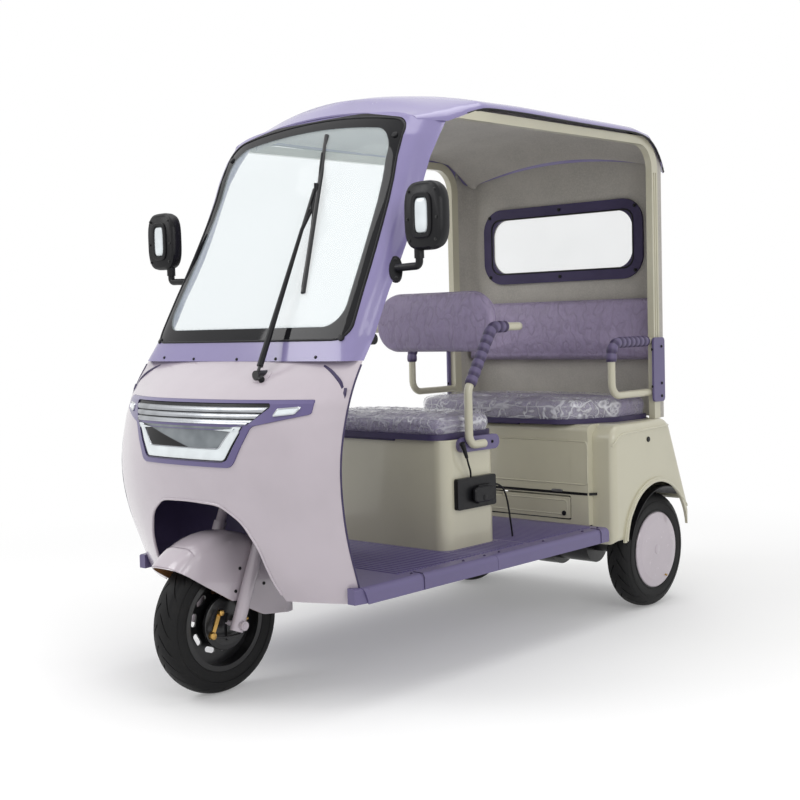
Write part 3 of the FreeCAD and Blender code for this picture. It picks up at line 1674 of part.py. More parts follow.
def rear_axle_unit():
    """The axle housing with its motor and gearcase, and a stub for each wheel."""
    parts = []
    reach = wheel_offset + size.hub_width / 2
    housing = wheel_offset - size.hub_width / 2 - size.seat_gap
    case = size.gearcase_width / 2
    parts.append(cylinder("axle_stub", size.rear_axle_radius, reach * 2, (-reach, rear_axle, axle_height),
                          (1, 0, 0)))
    parts.append(cylinder("axle_tube", size.axle_tube_radius, housing * 2, (-housing, rear_axle, axle_height),
                          (1, 0, 0)))
    parts.append(cylinder("gearcase", size.gearcase_radius, size.gearcase_width,
                          (-case, rear_axle, axle_height),
                          (1, 0, 0)))
    parts.append(cylinder("motor", size.motor_radius, size.motor_length, (case, rear_axle, axle_height),
                          (1, 0, 0)))
    return keep(fuse("rear_axle", parts))


def between(shares, value, column):
    """One column of a run of shares, read off at a value of its first column."""
    for lower, upper in zip(shares, shares[1:]):
        if lower[0] <= value <= upper[0]:
            part = (value - lower[0]) / (upper[0] - lower[0])
            return lower[column] + (upper[column] - lower[column]) * part
    return shares[-1][column]


def surround_side(height):
    """The surround's half-width at one height."""
    share = float((height - fairing_high) / size.surround_height)
    return size.surround_half_width * between(SURROUND_LEVEL_SHARES, share, 1)


def front_place(across, rise, lift):
    """A place in front of the skin, so far across and above or below the fairing's top."""
    levels, plan, reach, half, depth = FAIRING_LEVEL_SHARES, FAIRING_PLAN_SHARES, fairing_high - fairing_low, \
        size.fairing_half_width, size.fairing_depth
    share = 1 + float(rise / reach)
    start = front_axle - size.fairing_nose_reach
    if float(rise) > 0:
        levels, plan, reach, half = SURROUND_LEVEL_SHARES, SURROUND_PLAN_SHARES, size.surround_height, \
            size.surround_half_width
        start = start + depth * FAIRING_LEVEL_SHARES[-1][2]
        depth = size.surround_depth
        share = float(rise / reach)
    wide = float(half) * between(levels, share, 1)
    nose = between(levels, share, 2)
    edge = between(levels, share, 3)
    back = between(plan, float(across) / wide, 1)
    return point(across, start + depth * (nose + (edge - nose) * back) - lift, fairing_high + rise)


def wiper():
    """The wiper: a boss on the fairing, an arm, and a blade that lies against the glass."""
    lift = size.wiper_lift
    pivot = front_place(size.wiper_pivot_across, size.wiper_pivot_drop * -1, lift)
    joint = front_place(size.wiper_joint_across, size.wiper_joint_rise, lift)
    reach = float(size.wiper_boss_radius)
    boss = Part.makeCylinder(reach, float(size.wiper_boss_length + lift),
                             pivot - FreeCAD.Vector(0, reach / 2, 0),
                             FreeCAD.Vector(0, 1, 0))
    arm = straight_tube(pivot, joint, size.wiper_arm_radius)
    low = front_place(size.blade_low_across, size.blade_low_rise, size.blade_lift)
    high = front_place(size.blade_high_across, size.blade_high_rise, size.blade_lift)
    blade = straight_tube(low, high, size.blade_radius)
    post = straight_tube(joint, joint + FreeCAD.Vector(0, float(lift), 0), size.wiper_arm_radius)
    whole = blended("wiper_whole", boss.fuse([arm, blade, post]))
    gap = float(size.seat_gap)
    behind = float(size.wiper_boss_length * 2)
    clear = cut("wiper_off_glass", whole, blended("glass_block", surround_skin(-gap, behind)))
    return keep(cut("wiper", clear, blended("fairing_block", fairing_skin(-gap, behind))))


def straight_tube(start, end, radius):
    """A round rod between two places."""
    return Part.makeCylinder(float(radius), (end - start).Length, start, end - start)


def mirrors():
    """Two mirrors, each on a bent stalk from its pillar."""
    piece = Piece("mirrors")
    arm = size.mirror_arm_width
    front = front_axle + size.mirror_front
    middle = front + size.mirror_depth / 2
    level = mirror_low - size.mirror_drop
    for side in (-1, 1):
        centre = size.mirror_offset * side
        half = size.mirror_half_width
        piece.pad("XZ", rectangle(centre - half, mirror_low, centre + half,
                                  mirror_low + size.mirror_height, size.mirror_corner),
                  front, front + size.mirror_depth)
        piece.pad("XY", rectangle(centre - arm / 2, middle - arm / 2, centre + arm / 2, middle + arm / 2,
                                  arm * 0.3),
                  level - arm / 2, mirror_low + arm / 2)
        inner = surround_side(level) + size.seat_gap * 2
        low = inner if side > 0 else centre - arm / 2
        high = centre + arm / 2 if side > 0 else -inner
        piece.pad("YZ", rectangle(middle - arm / 2, level - arm / 2, middle + arm / 2, level + arm / 2,
                                  arm * 0.3),
                  low, high)
    return keep(piece.body)


def leaf_springs():
    """A curved leaf pack on each side, from the rails down to the axle."""
    piece = Piece("leaf_springs")
    top = floor_top - size.floor_sheet - size.rail_tube_height - size.seat_gap
    seat = axle_height + size.axle_tube_radius + size.seat_gap
    leaf = size.spring_leaf
    reach = size.spring_half_length
    width = size.spring_width / 2
    for side in (-1, 1):
        middle = size.rail_spacing / 2 * side
        bend = size.spring_round
        piece.pad("YZ", [(-reach, top - leaf), (-reach * 0.35, seat, bend), (reach * 0.35, seat, bend),
                         (reach, top - leaf), (reach, top), (reach * 0.5, seat + leaf * 3, bend * 0.87),
                         (-reach * 0.5, seat + leaf * 3, bend * 0.87), (-reach,
                                                                        top)], middle - width, middle + width)
    move(piece.body, Size(0, "0"), rear_axle, Size(0, "0"))
    return keep(piece.body)


def charging_panel():
    """The black outlet box on the seat box's side, with its ribbed cover."""
    piece = Piece("charging_panel")
    front = box_start + size.panel_lead
    low = floor_top + size.panel_rise
    near = size.box_half_width + size.seat_gap
    depth = size.panel_thickness
    corner = size.panel_round
    piece.pad("YZ", rectangle(front, low, front + size.panel_length, low + size.panel_height, corner), near,
              near + depth * 0.6)
    piece.pad("YZ", rectangle(front + size.panel_length * 0.45, low + size.panel_height * 0.12,
                              front + size.panel_length * 0.85, low + size.panel_height * 0.72, corner),
              near + depth * 0.5, near + depth)
    return keep(piece.body)


def lead(label, places):
    """A soft round lead: straight runs and the largest tangent arcs that they allow."""
    radii = []
    for before, corner, after in zip(places, places[1:], places[2:]):
        inward = before - corner
        outward = after - corner
        half_turn = (math.pi - inward.getAngle(outward)) / 2
        radii.append(0.45 * min(inward.Length, outward.Length) / math.tan(half_turn))
    tube = swept_tube([tuple(place) for place in places], size.lead_diameter / 2, radii)
    print(f"{label}: arc radii {[round(radius) for radius in radii]} mm, volume {tube.Volume:.0f} mm3")
    return keep(blended(label, tube))


# The leads' corners: out from the box, back from the first corner and up from the last, as shares
CHARGER_LEAD_SHARES = [(1.0, 0.0, 1.0), (0.929, 0.294, 0.619), (0.75, 0.765, 0.302), (0.5, 1.0, 0.0)]
PANEL_LEAD_SHARES = [
    (0.667, 0.0, 1.0), (0.933, 0.189, 0.978), (1.0, 0.412, 0.88), (0.933, 0.574, 0.712), (0.667, 0.716, 0.516),
    (0.4, 0.858, 0.288), (0.133, 1.0, 0.003),
]


def lead_places(shares, stand_off, start, run, low, rise):
    """The corners of a lead beside the seat box."""
    return [point(size.box_half_width + stand_off * out, start + run * back, low + rise * up)
            for out, back, up in shares]


def build_leads():
    """The charger's lead with its plug, and the lead from the panel down into the floor."""
    panel_start = box_start + size.panel_lead
    panel_top = floor_top + size.panel_rise + size.panel_height
    charger = lead_places(CHARGER_LEAD_SHARES, size.charger_stand_off, panel_start + size.charger_set,
                          size.charger_run, panel_top + size.seat_gap * 5, size.charger_rise)
    lead("charger_lead", charger)
    lead("panel_lead", lead_places(PANEL_LEAD_SHARES, size.panel_stand_off,
                                   panel_start + size.panel_length + size.seat_gap * 4, size.panel_run,
                                   floor_top, size.panel_rise + size.panel_height * 0.656))
    lean = FreeCAD.Vector(0, -0.45, 1)
    plug = doc.addObject("Part::Cone", "charger_plug")
    plug.Label = "charger_plug"
    bind(plug, "Radius1", size.plug_radius * 0.55)
    bind(plug, "Radius2", size.plug_radius)
    bind(plug, "Height", size.plug_length)
    seat = charger[0] + lean * float(size.seat_gap * 2)
    plug.Placement = FreeCAD.Placement(seat, FreeCAD.Rotation(FreeCAD.Vector(0, 0, 1), lean))
    keep(plug)


def build():
    tyre("front_tyre", size.tyre_width, 0)
    front_rim()
    for name, side in (("left", 1), ("right", -1)):
        tyre(f"rear_tyre_{name}", size.rear_tyre_width, wheel_offset * side)
        rear_rim(f"rear_rim_{name}", side)
        wheel_cap(f"wheel_cap_{name}", side)
    front_fork()
    handlebar()
    mudguard()
    brake_plate()
    fairing()
    lamp()
    windscreen()
    roof()
    roof_lining()
    side_frames()
    rear_wall()
    rear_window()
    floor_panels()
    wheel_well()
    column_shroud()
    dash_panel()
    chassis_frame()
    seat_box()
    front_seat()
    front_backrest()
    seat_brackets()
    rear_body()
    storage_flap()
    arch_liners()
    rear_seat()
    armrests()
    armrest_plates()
    rear_axle_unit()
    leaf_springs()
    mirrors()
    wiper()
    charging_panel()
    build_leads()


def write():
    """Check every object, then write each sub-part under its own name."""
    doc.recompute()
    for item in doc.Objects:
        if "Invalid" in item.State or "Error" in item.State:
            raise RuntimeError(f"{item.Label} failed: {item.State}")
    os.makedirs("parts", exist_ok=True)
    for item in PARTS:
        if item.Shape.isNull() or not item.Shape.isValid():
            raise RuntimeError(f"{item.Label} has no valid shape")
        item.Shape.exportStep(f"parts/{item.Label}.step")
        print(f"{item.Label}: {len(item.Shape.Solids)} solid, {item.Shape.Volume / 1000:.1f} cm3")


build()
write()
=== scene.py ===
"""Looks of the auto rickshaw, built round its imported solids.

Metres, +Z up. The nose points towards -Y and the driver's left is +X. Places along the
vehicle are given from the front axle, because everything on it was measured from there.
"""

import json
import math

import bmesh
import bpy
from mathutils import Matrix, Vector, noise
from mathutils.bvhtree import BVHTree


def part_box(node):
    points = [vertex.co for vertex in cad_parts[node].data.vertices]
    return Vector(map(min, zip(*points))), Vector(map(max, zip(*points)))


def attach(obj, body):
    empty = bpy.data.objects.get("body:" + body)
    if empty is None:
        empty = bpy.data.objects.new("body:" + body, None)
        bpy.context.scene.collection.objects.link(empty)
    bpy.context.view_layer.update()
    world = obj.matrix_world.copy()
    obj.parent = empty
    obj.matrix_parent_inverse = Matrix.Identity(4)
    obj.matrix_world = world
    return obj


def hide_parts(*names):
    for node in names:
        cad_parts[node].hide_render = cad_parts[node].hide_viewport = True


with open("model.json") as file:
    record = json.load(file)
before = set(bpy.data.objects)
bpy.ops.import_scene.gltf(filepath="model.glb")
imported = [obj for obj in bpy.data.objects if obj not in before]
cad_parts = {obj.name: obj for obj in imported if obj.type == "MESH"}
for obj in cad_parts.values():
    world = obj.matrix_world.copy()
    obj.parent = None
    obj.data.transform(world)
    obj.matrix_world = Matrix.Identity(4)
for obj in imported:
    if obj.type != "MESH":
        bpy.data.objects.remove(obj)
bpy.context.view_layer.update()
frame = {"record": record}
noise.seed_set(7)  # the vector noise starts from the clock otherwise

MM = 0.001
AXLE = sum(corner[1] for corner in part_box("front_tyre")) / 2
WHEEL_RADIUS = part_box("front_tyre")[1][2] / 2
AHEAD, BESIDE, IN_CABIN = -600, 700, 1100
ACROSS, ALONG, UP = Vector((1, 0, 0)), Vector((0, 1, 0)), Vector((0, 0, 1))
SIDES = (-1, 1)
SIDE_WORDS = ((-1, "right"), (1, "left"))


def at(across, along, height):
    """A place in millimetres: from the centre plane, from the front axle and from the floor."""
    return Vector((across * MM, AXLE + along * MM, height * MM))


# Shader maths and finishes


def worked(operation, turned=False):
    """A method that adds one kind of Math node, with the signal first or, when turned, last."""
    def work(self, *others):
        return self.maths(operation, *((*others, self) if turned else (self, *others)))

    return work


class Signal:
    """A socket that takes part in Python expressions, each of which adds a Math node."""

    def __init__(self, tree, socket):
        self.tree = tree
        self.socket = socket

    def maths(self, operation, *values):
        node = self.tree.nodes.new("ShaderNodeMath")
        node.operation = operation
        for place, value in zip(node.inputs, values):
            feed(self.tree, place, value)
        return Signal(self.tree, node.outputs[0])

    __add__ = __radd__ = worked("ADD")
    __sub__ = worked("SUBTRACT")
    __rsub__ = worked("SUBTRACT", turned=True)
    __mul__ = __rmul__ = worked("MULTIPLY")
    __truediv__ = worked("DIVIDE")
    __pow__ = worked("POWER")
    __abs__ = worked("ABSOLUTE")
    least = worked("MINIMUM")
    most = worked("MAXIMUM")


def feed(tree, place, value):
    """Link a signal to a socket, or set the socket's own value."""
    if isinstance(value, Signal):
        tree.links.new(value.socket, place)
    elif value is not None:
        place.default_value = value


class Finish:
    """A material on Object coordinates, with one method that adds any node."""

    def __init__(self, name, **shader):
        self.material = bpy.data.materials.new(name)
        self.material.use_nodes = True
        self.tree = self.material.node_tree
        self.shader = self.tree.nodes["Principled BSDF"]
        self.place = self.node("TexCoord", output="Object")
        self.set(**shader)

    def node(self, kind, settings=None, inputs=None, output=0):
        node = self.tree.nodes.new("ShaderNode" + kind)
        for name, value in (settings or {}).items():
            if name == "stops":
                for position, colour in value:
                    stop = node.color_ramp.elements.new(position)
                    stop.color = colour
                while len(node.color_ramp.elements) > len(value):
                    node.color_ramp.elements.remove(node.color_ramp.elements[0])
            else:
                setattr(node, name, value)
        for name, value in (inputs or {}).items():
            feed(self.tree, node.inputs[name], value)
        return Signal(self.tree, node.outputs[output])

    def set(self, **shader):
        """Set or link the shader's sockets; a name's underscores stand for spaces."""
        for name, value in shader.items():
            feed(self.tree, self.shader.inputs[name.replace("_", " ")], value)

    def grain(self, scale, detail=3.0, roughness=0.55, vector=None, distortion=0.0):
        return self.node("TexNoise", None, {"Vector": vector or self.place, "Scale": scale, "Detail": detail,
                                            "Roughness": roughness, "Distortion": distortion})

    def cells(self, scale, feature="F1", vector=None, output="Distance"):
        return self.node("TexVoronoi", {"feature": feature}, {"Vector": vector or self.place, "Scale": scale}, output)

    def shifted(self, amount, scale):
        """Object coordinates pushed about by noise, for lines that wander."""
        pushes = self.node("TexNoise", None, {"Vector": self.place, "Scale": scale, "Detail": 2.0}, "Color")
        centred = self.node("VectorMath", {"operation": "SUBTRACT"}, {0: pushes, 1: (0.5, 0.5, 0.5)})
        grown = self.node("VectorMath", {"operation": "SCALE"}, {0: centred, "Scale": amount})
        return self.node("VectorMath", {"operation": "ADD"}, {0: self.place, 1: grown})

    def part(self, axis, vector=None):
        """One coordinate of a place."""
        return self.node("SeparateXYZ", None, {0: vector or self.place}, axis)

    def ease(self, value, low, high, first=0.0, last=1.0):
        """A smooth step from first to last as the value goes from low to high."""
        return self.node("MapRange", {"interpolation_type": "SMOOTHSTEP"},
                         {"Value": value, "From Min": low, "From Max": high, "To Min": first, "To Max": last})

    def blend(self, factor, first, second, how="MIX"):
        """Mix two colours, or a colour and a signal that carries one."""
        node = self.tree.nodes.new("ShaderNodeMix")
        node.data_type = "RGBA"
        node.blend_type = how
        for name, value in (("Factor_Float", factor), ("A_Color", first), ("B_Color", second)):
            place = next(socket for socket in node.inputs if socket.identifier == name)
            feed(self.tree, place, value)
        return Signal(self.tree, next(socket for socket in node.outputs if socket.identifier == "Result_Color"))

    def relief(self, height, depth, strength=1.0, below=None):
        """A bump whose full height is a real depth in metres."""
        normal = self.node("Bump", None, {"Height": height, "Distance": depth, "Strength": strength, "Normal": below})
        self.set(Normal=normal)
        return normal


def tone(red, green, blue):
    """A colour as a screen shows it, 0 to 255, turned into the linear values that nodes take."""
    shares = (part / 255 for part in (red, green, blue))
    linear = [share / 12.92 if share < 0.0405 else ((share + 0.055) / 1.055) ** 2.4 for share in shares]
    return (*linear, 1.0)


def shaded(colour, share):
    """A colour made darker or lighter, never past white."""
    return (*(min(1.0, part * share) for part in colour[:3]), 1.0)


def gloss_shell(name, colour, roughness=0.22, coat=0.6):
    """Moulded or painted shell: faint mottling and dust that gathers low down."""
    finish = Finish(name, Coat_Weight=coat, Coat_Roughness=0.08, IOR=1.5)
    drift = finish.grain(3.0, 4.0)
    finish.set(Base_Color=finish.blend(finish.ease(drift, 0.35, 0.75), colour, shaded(colour, 0.90)))
    scuffs = finish.ease(finish.grain(34.0, 5.0, 0.7), 0.56, 0.72)
    low = finish.ease(finish.part("Z"), 0.62, 0.18)
    finish.set(Roughness=roughness + scuffs * (0.015 + low * 0.09))
    return finish.material


def grained_plastic(name, colour, roughness=0.48):
    """Moulded plastic with a fine pebbled grain."""
    finish = Finish(name, Specular_IOR_Level=0.26)
    drift = finish.grain(9.0, 4.0)
    finish.set(Base_Color=finish.blend(finish.ease(drift, 0.3, 0.8), colour, shaded(colour, 0.8)))
    finish.set(Roughness=roughness + finish.ease(finish.grain(60.0, 3.0), 0.4, 0.8) * 0.12)
    finish.relief(finish.cells(900.0, "SMOOTH_F1"), 0.00008)
    return finish.material


def felt_lining(name, colour):
    """The roof's and wall's lining: a mottled, short-haired sheet."""
    finish = Finish(name, Roughness=0.95, Sheen_Weight=0.25, Sheen_Roughness=0.6)
    cloud = finish.ease(finish.grain(5.5, 6.0, 0.65), 0.3, 0.75)
    speck = finish.ease(finish.grain(160.0, 2.0), 0.35, 0.7)
    base = finish.blend(cloud, shaded(colour, 0.80), colour)
    finish.set(Base_Color=finish.blend(speck * 0.5, base, shaded(colour, 1.10)))
    finish.relief(finish.grain(900.0, 2.0) + cloud * 0.6, 0.0004)
    return finish.material


def leatherette(name, colour, stretch=(1.0, 1.0, 0.5)):
    """Soft leatherette with a fine pebble and long, wandering creases, with shade painted darker along them."""
    finish = Finish(name, Specular_IOR_Level=0.5, Sheen_Weight=0.12)
    wander = finish.shifted(0.035, 11.0)
    turned = finish.node("Mapping", None, {"Vector": wander, "Scale": stretch})
    folds = finish.ease(abs(finish.grain(26.0, 1.5, 0.5, turned) - 0.5), 0.0, 0.075)
    small = finish.ease(abs(finish.grain(66.0, 1.0, 0.5, turned) - 0.5), 0.0, 0.09)
    pebble = finish.cells(720.0, "SMOOTH_F1")
    cloud = finish.ease(finish.grain(7.0, 4.0), 0.3, 0.8)
    base = finish.blend(cloud, colour, shaded(colour, 1.12))
    # Painted shade: the colour is darker along the creases, and about half as dark along the fine wrinkles.
    finish.set(Base_Color=finish.blend(folds.least(small * 0.5 + 0.5), shaded(colour, 0.88), base))
    finish.set(Roughness=0.40 + folds * 0.10)
    finish.relief(folds * 0.8 + small * 0.4 + pebble * 0.06, 0.0020, 0.9)
    return finish.material


def rubber(name, colour=(0.010, 0.010, 0.0105, 1.0), roughness=0.55):
    """Tyre rubber with dust in its grain."""
    finish = Finish(name, Specular_IOR_Level=0.2)
    dust = finish.ease(finish.grain(28.0, 6.0, 0.7), 0.5, 0.8)
    grey = (0.030, 0.029, 0.027, 1.0)
    finish.set(Base_Color=finish.blend(dust * 0.55, colour, grey))
    finish.set(Roughness=roughness + dust * 0.2)
    finish.relief(finish.grain(620.0, 3.0), 0.00012)
    return finish.material


def metal(name, colour, roughness=0.3, brushed=0.0):
    """Bare or plated metal with fine scratches."""
    finish = Finish(name, Metallic=1.0)
    drift = finish.ease(finish.grain(12.0, 5.0), 0.35, 0.75)
    finish.set(Base_Color=finish.blend(drift, colour, shaded(colour, 0.72)))
    drawn = finish.node("Mapping", None, {"Vector": finish.place, "Scale": (1, 30, 30)})
    lines = finish.grain(40.0, 4.0, 0.6, drawn)
    finish.set(Roughness=roughness + drift * 0.12 + lines * brushed)
    return finish.material


def clear_sheet(name, colour, alpha):
    """A clear moulding: a thin gloss sheet that shows what is behind it."""
    finish = Finish(name, Base_Color=colour, Roughness=0.03, IOR=1.45, Coat_Weight=1.0, Coat_Roughness=0.02)
    streak = finish.ease(finish.grain(2.2, 2.0), 0.4, 0.7)
    finish.set(Alpha=alpha + streak * 0.04)
    finish.material.surface_render_method = "BLENDED"
    return finish.material


def screen_sheet(name):
    """The windscreen: clear glass inside a dark printed border that ends in rows of dots."""
    finish = Finish(name, Roughness=0.04, Specular_IOR_Level=0.22)
    across = abs(finish.part("X"))
    height = finish.part("Z")
    foot, print_edge, corner_radius, slant = 0.991, 0.036, 0.100, 1.15
    top = 1.654 - across * across * 0.26
    side = 0.4148 - (height - foot) * 0.0648 - across
    edge = side.least((height - foot) * slant - 0.006).least((top - height) * slant + 0.004)
    ends = (top - height).least(height - foot)
    corner = ((corner_radius - side).most(0.0) ** 2 + (corner_radius - ends).most(0.0) ** 2) ** 0.5
    edge = edge.least(corner_radius - corner)
    solid = 1 - finish.ease(edge, print_edge, print_edge + 0.002)
    turned = finish.node("Mapping", None, {"Vector": finish.place, "Rotation": (math.radians(64), 0.0, 0.0)})
    dots = 1 - finish.ease(finish.cells(330.0, "F1", turned), 0.20, 0.34)
    fringe = (1 - finish.ease(edge, print_edge + 0.001, print_edge + 0.009)) * dots
    cover = solid.most(fringe)
    finish.set(Base_Color=finish.blend(cover, tone(220, 234, 238), tone(24, 24, 27)))
    finish.set(Alpha=0.24 + cover * 0.72)
    finish.material.surface_render_method = "BLENDED"
    return finish.material


def crinkled_film(name):
    """Clear wrapping film: almost unseen where it is smooth, milky in patches, with white highlights painted along its
    many sharp folds.
    """
    finish = Finish(name, Base_Color=tone(236, 236, 242), Roughness=0.12, IOR=1.45, Coat_Weight=1.0,
                    Coat_Roughness=0.05)
    wander = finish.shifted(0.016, 7.0)
    leaning, across = (finish.node("Mapping", None, {"Vector": wander, "Rotation": (0.0, 0.0, turn), "Scale": scale})
                       for turn, scale in ((0.8, (1.0, 0.13, 0.7)), (-0.45, (0.14, 1.0, 0.8))))
    long = 1 - finish.ease(abs(finish.grain(26.0, 1.5, 0.5, leaning) - 0.5), 0.0, 0.05)
    short = 1 - finish.ease(abs(finish.grain(40.0, 1.5, 0.5, across) - 0.5), 0.0, 0.06)
    patch = finish.ease(finish.grain(6.0, 2.0, 0.5, across), 0.44, 0.60)
    # Painted highlights: the film is made whiter and less clear along its fold lines, most of all in the milky
    # patches.
    painted_fold_highlight = (long * (0.15 + patch * 0.85)).most(short * patch * 0.75)
    finish.set(Alpha=(0.10 + patch * 0.18 + painted_fold_highlight * 0.55).least(0.9))
    finish.relief(finish.grain(34.0, 4.0, 0.6, leaning) + long * 0.35 + short * 0.25, 0.006, 1.0)
    finish.material.surface_render_method = "BLENDED"
    return finish.material


def wound_sleeve(name, dark, light):
    """A soft grip wound in turns, each painted with shade from its dark edge in the groove to its light side."""
    finish = Finish(name, Roughness=0.45, Specular_IOR_Level=0.5)
    turn = finish.node("Attribute", {"attribute_name": "turn"}, None, "Fac")
    share = turn.maths("FRACT", turn)
    # Painted shade: each turn is dark at its ends, where it dips into the groove between turns, and light over the
    # later part of its swell.
    shade = finish.ease(share, 0.15, 0.55) * (1 - finish.ease(share, 0.86, 0.98))
    finish.set(Base_Color=finish.blend(shade, dark, light))
    finish.relief(finish.cells(800.0, "SMOOTH_F1"), 0.00008)
    return finish.material


def lit_lens(name, colour, glow):
    """A frosted lamp lens, pale and a little bright of itself."""
    finish = Finish(name, Roughness=0.22, Coat_Weight=1.0, Coat_Roughness=0.04, Emission_Strength=glow)
    drift = finish.ease(finish.grain(16.0, 2.0), 0.3, 0.7)
    finish.set(Base_Color=finish.blend(drift, colour, shaded(colour, 0.86)), Emission_Color=colour)
    return finish.material


def dark_panel(name):
    """The black gloss panel of the lamp, with a broad grey reflection painted across it."""
    finish = Finish(name, Roughness=0.08, Specular_IOR_Level=0.25)
    # Painted reflection: above a slanting line across the panel, its black is painted grey.
    painted_reflection_mask = finish.ease(finish.part("Z") + finish.part("X") * 0.278, 0.7160, 0.7195)
    drift = finish.ease(finish.grain(14.0, 2.0), 0.3, 0.7)
    pale = finish.blend(drift, tone(140, 146, 150), tone(112, 118, 123))
    finish.set(Base_Color=finish.blend(painted_reflection_mask, tone(14, 15, 17), pale))
    return finish.material


finishes = {
    "lilac_paint": gloss_shell("lilac gloss shell", tone(196, 186, 194)),
    "lavender_paint": gloss_shell("lavender gloss shell", tone(137, 128, 174), 0.26, 0.5),
    "purple_paint": gloss_shell("purple moulding", tone(100, 91, 132), 0.4, 0.15),
    "dark_purple": grained_plastic("dark purple moulding", tone(66, 58, 90), 0.42),
    "cream_paint": gloss_shell("cream gloss shell", tone(198, 194, 172), 0.28, 0.5),
    "mauve_leather": leatherette("mauve leatherette", tone(156, 143, 173)),
    "cushion_cover": leatherette("cushion leatherette", tone(122, 112, 142), (1.0, 1.0, 1.0)),
    "lining": felt_lining("grey lining", tone(182, 178, 170)),
    "black_plastic": grained_plastic("black moulding", tone(21, 21, 24), 0.36),
    "black_paint": gloss_shell("black paint", tone(19, 19, 21), 0.34, 0.2),
    "clear": clear_sheet("clear sheet", tone(205, 218, 222), 0.12),
    "tyre": rubber("tyre rubber"),
    "steel": metal("spring steel", tone(120, 120, 122), 0.45),
    "lead": rubber("lead sheath", tone(22, 22, 24), 0.4),
    "screen_glass": screen_sheet("windscreen glass"),
    "film": crinkled_film("wrapping film"),
    "grip": wound_sleeve("wound grip", tone(58, 47, 80), tone(96, 86, 120)),
    "light_bar": lit_lens("frosted lamp lens", tone(228, 235, 238), 0.12),
    "dark_glass": dark_panel("lamp panel"),
    "lamp_trim": gloss_shell("lamp trim", tone(96, 86, 134), 0.3, 0.4),
    "chrome": metal("bright trim", tone(196, 198, 202), 0.12),
    "chrome_strip": metal("satin trim", tone(176, 179, 183), 0.24, 0.1),
    "mirror_glass": metal("mirror face", tone(214, 218, 222), 0.03),
    "gold": metal("gold plating", tone(196, 158, 92), 0.28),
    "brown_moulding": grained_plastic("brown moulding", tone(168, 122, 82), 0.5),
}


def dress(node, finish):
    """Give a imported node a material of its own."""
    mesh = bpy.data.objects[node].data
    mesh.materials.clear()
    mesh.materials.append(finish)


for entry in frame["record"]["subparts"]:
    dress(entry["node"], finishes[entry["material_slot"]])
dress("lamp_housing", finishes["lamp_trim"])


# Studio


def placed(name, data):
    """A new object in the scene."""
    thing = bpy.data.objects.new(name, data)
    bpy.context.scene.collection.objects.link(thing)
    return thing


def studio():
    """A pale floor, soft lamps and a white surround."""
    scene = bpy.context.scene
    scene.view_settings.view_transform = "Standard"
    size = 30.0
    mesh = bpy.data.meshes.new("studio floor")
    mesh.from_pydata([(-size, -size, 0), (size, -size, 0), (size, size, 0), (-size, size, 0)], [], [(0, 1, 2, 3)])
    floor = placed("studio_floor", mesh)
    finish = Finish("studio floor", Base_Color=(0.82, 0.82, 0.82, 1.0), Roughness=0.9, Specular_IOR_Level=0.0,
                    Emission_Strength=1.0)
    seen = finish.node("LightPath").most(finish.node("LightPath", output="Is Glossy Ray"))
    seen = seen.most(finish.node("LightPath", output="Is Transmission Ray"))
    away = (finish.part("X") ** 2 + finish.part("Y") ** 2) ** 0.5
    finish.set(Emission_Color=seen * 0.20)
    white = finish.tree.nodes.new("ShaderNodeEmission")
    mixed = finish.tree.nodes.new("ShaderNodeMixShader")
    feed(finish.tree, mixed.inputs[0], seen * finish.ease(away, 1.5, 3.4))
    finish.tree.links.new(finish.shader.outputs[0], mixed.inputs[1])
    finish.tree.links.new(white.outputs[0], mixed.inputs[2])
    finish.tree.links.new(mixed.outputs[0], finish.tree.nodes["Material Output"].inputs[0])
    mesh.materials.append(finish.material)
    world = bpy.data.worlds.new("studio")
    world.use_nodes = True
    tree = world.node_tree
    tree.nodes.clear()
    path = tree.nodes.new("ShaderNodeLightPath")
    seen = Signal(tree, path.outputs["Is Camera Ray"]).most(Signal(tree, path.outputs["Is Glossy Ray"]) * 0.9)
    seen = seen.most(Signal(tree, path.outputs["Is Transmission Ray"]))
    ambient = 0.60
    glow = tree.nodes.new("ShaderNodeBackground")
    glow.inputs["Color"].default_value = (1.0, 1.0, 1.0, 1.0)
    feed(tree, glow.inputs["Strength"], ambient + seen * (1.0 - ambient))
    out = tree.nodes.new("ShaderNodeOutputWorld")
    tree.links.new(glow.outputs[0], out.inputs[0])
    scene.world = world
    for name, place, width, power in (("key", (-2.6, -3.8, 4.4), 3.2, 92), ("overhead", (0.4, 0.2, 5.2), 4.0, 88),
                                      ("side", (4.4, -1.6, 2.4), 2.6, 46)):
        data = bpy.data.lights.new(name, "AREA")
        data.shape = "DISK"
        data.size = width
        data.energy = power
        lamp = placed(name, data)
        lamp.location = place
        lamp.rotation_euler = (Vector((0, 0, 0.7)) - Vector(place)).to_track_quat("-Z", "Y").to_euler()


def camera():
    """The photograph's camera, found from its vanishing points."""
    turn = math.radians(41.950)
    down = math.radians(3.3661)
    roll = math.radians(-1.4534)
    focal_pixels = 1270.76
    frame_pixels = 800
    sensor = 36.0
    place = at(2783.6, -2293.1, 1027.4)
    ahead = Vector((-math.sin(turn) * math.cos(down), math.cos(turn) * math.cos(down), -math.sin(down)))
    level = Vector((math.cos(turn), math.sin(turn), 0.0))
    right = math.cos(roll) * level + math.sin(roll) * level.cross(ahead)
    above = right.cross(ahead)
    data = bpy.data.cameras.new("camera")
    data.sensor_width = sensor
    data.lens = focal_pixels / frame_pixels * sensor
    data.clip_end = 60.0
    view = placed("camera", data)
    view.matrix_world = Matrix.Translation(place) @ Matrix((right, above, -ahead)).transposed().to_4x4()
    bpy.context.scene.camera = view


studio()
camera()


def form_of(*nodes):
    """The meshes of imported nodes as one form."""
    shape = bmesh.new()
    for node in nodes:
        shape.from_mesh(bpy.data.objects[node].data)
    return shape


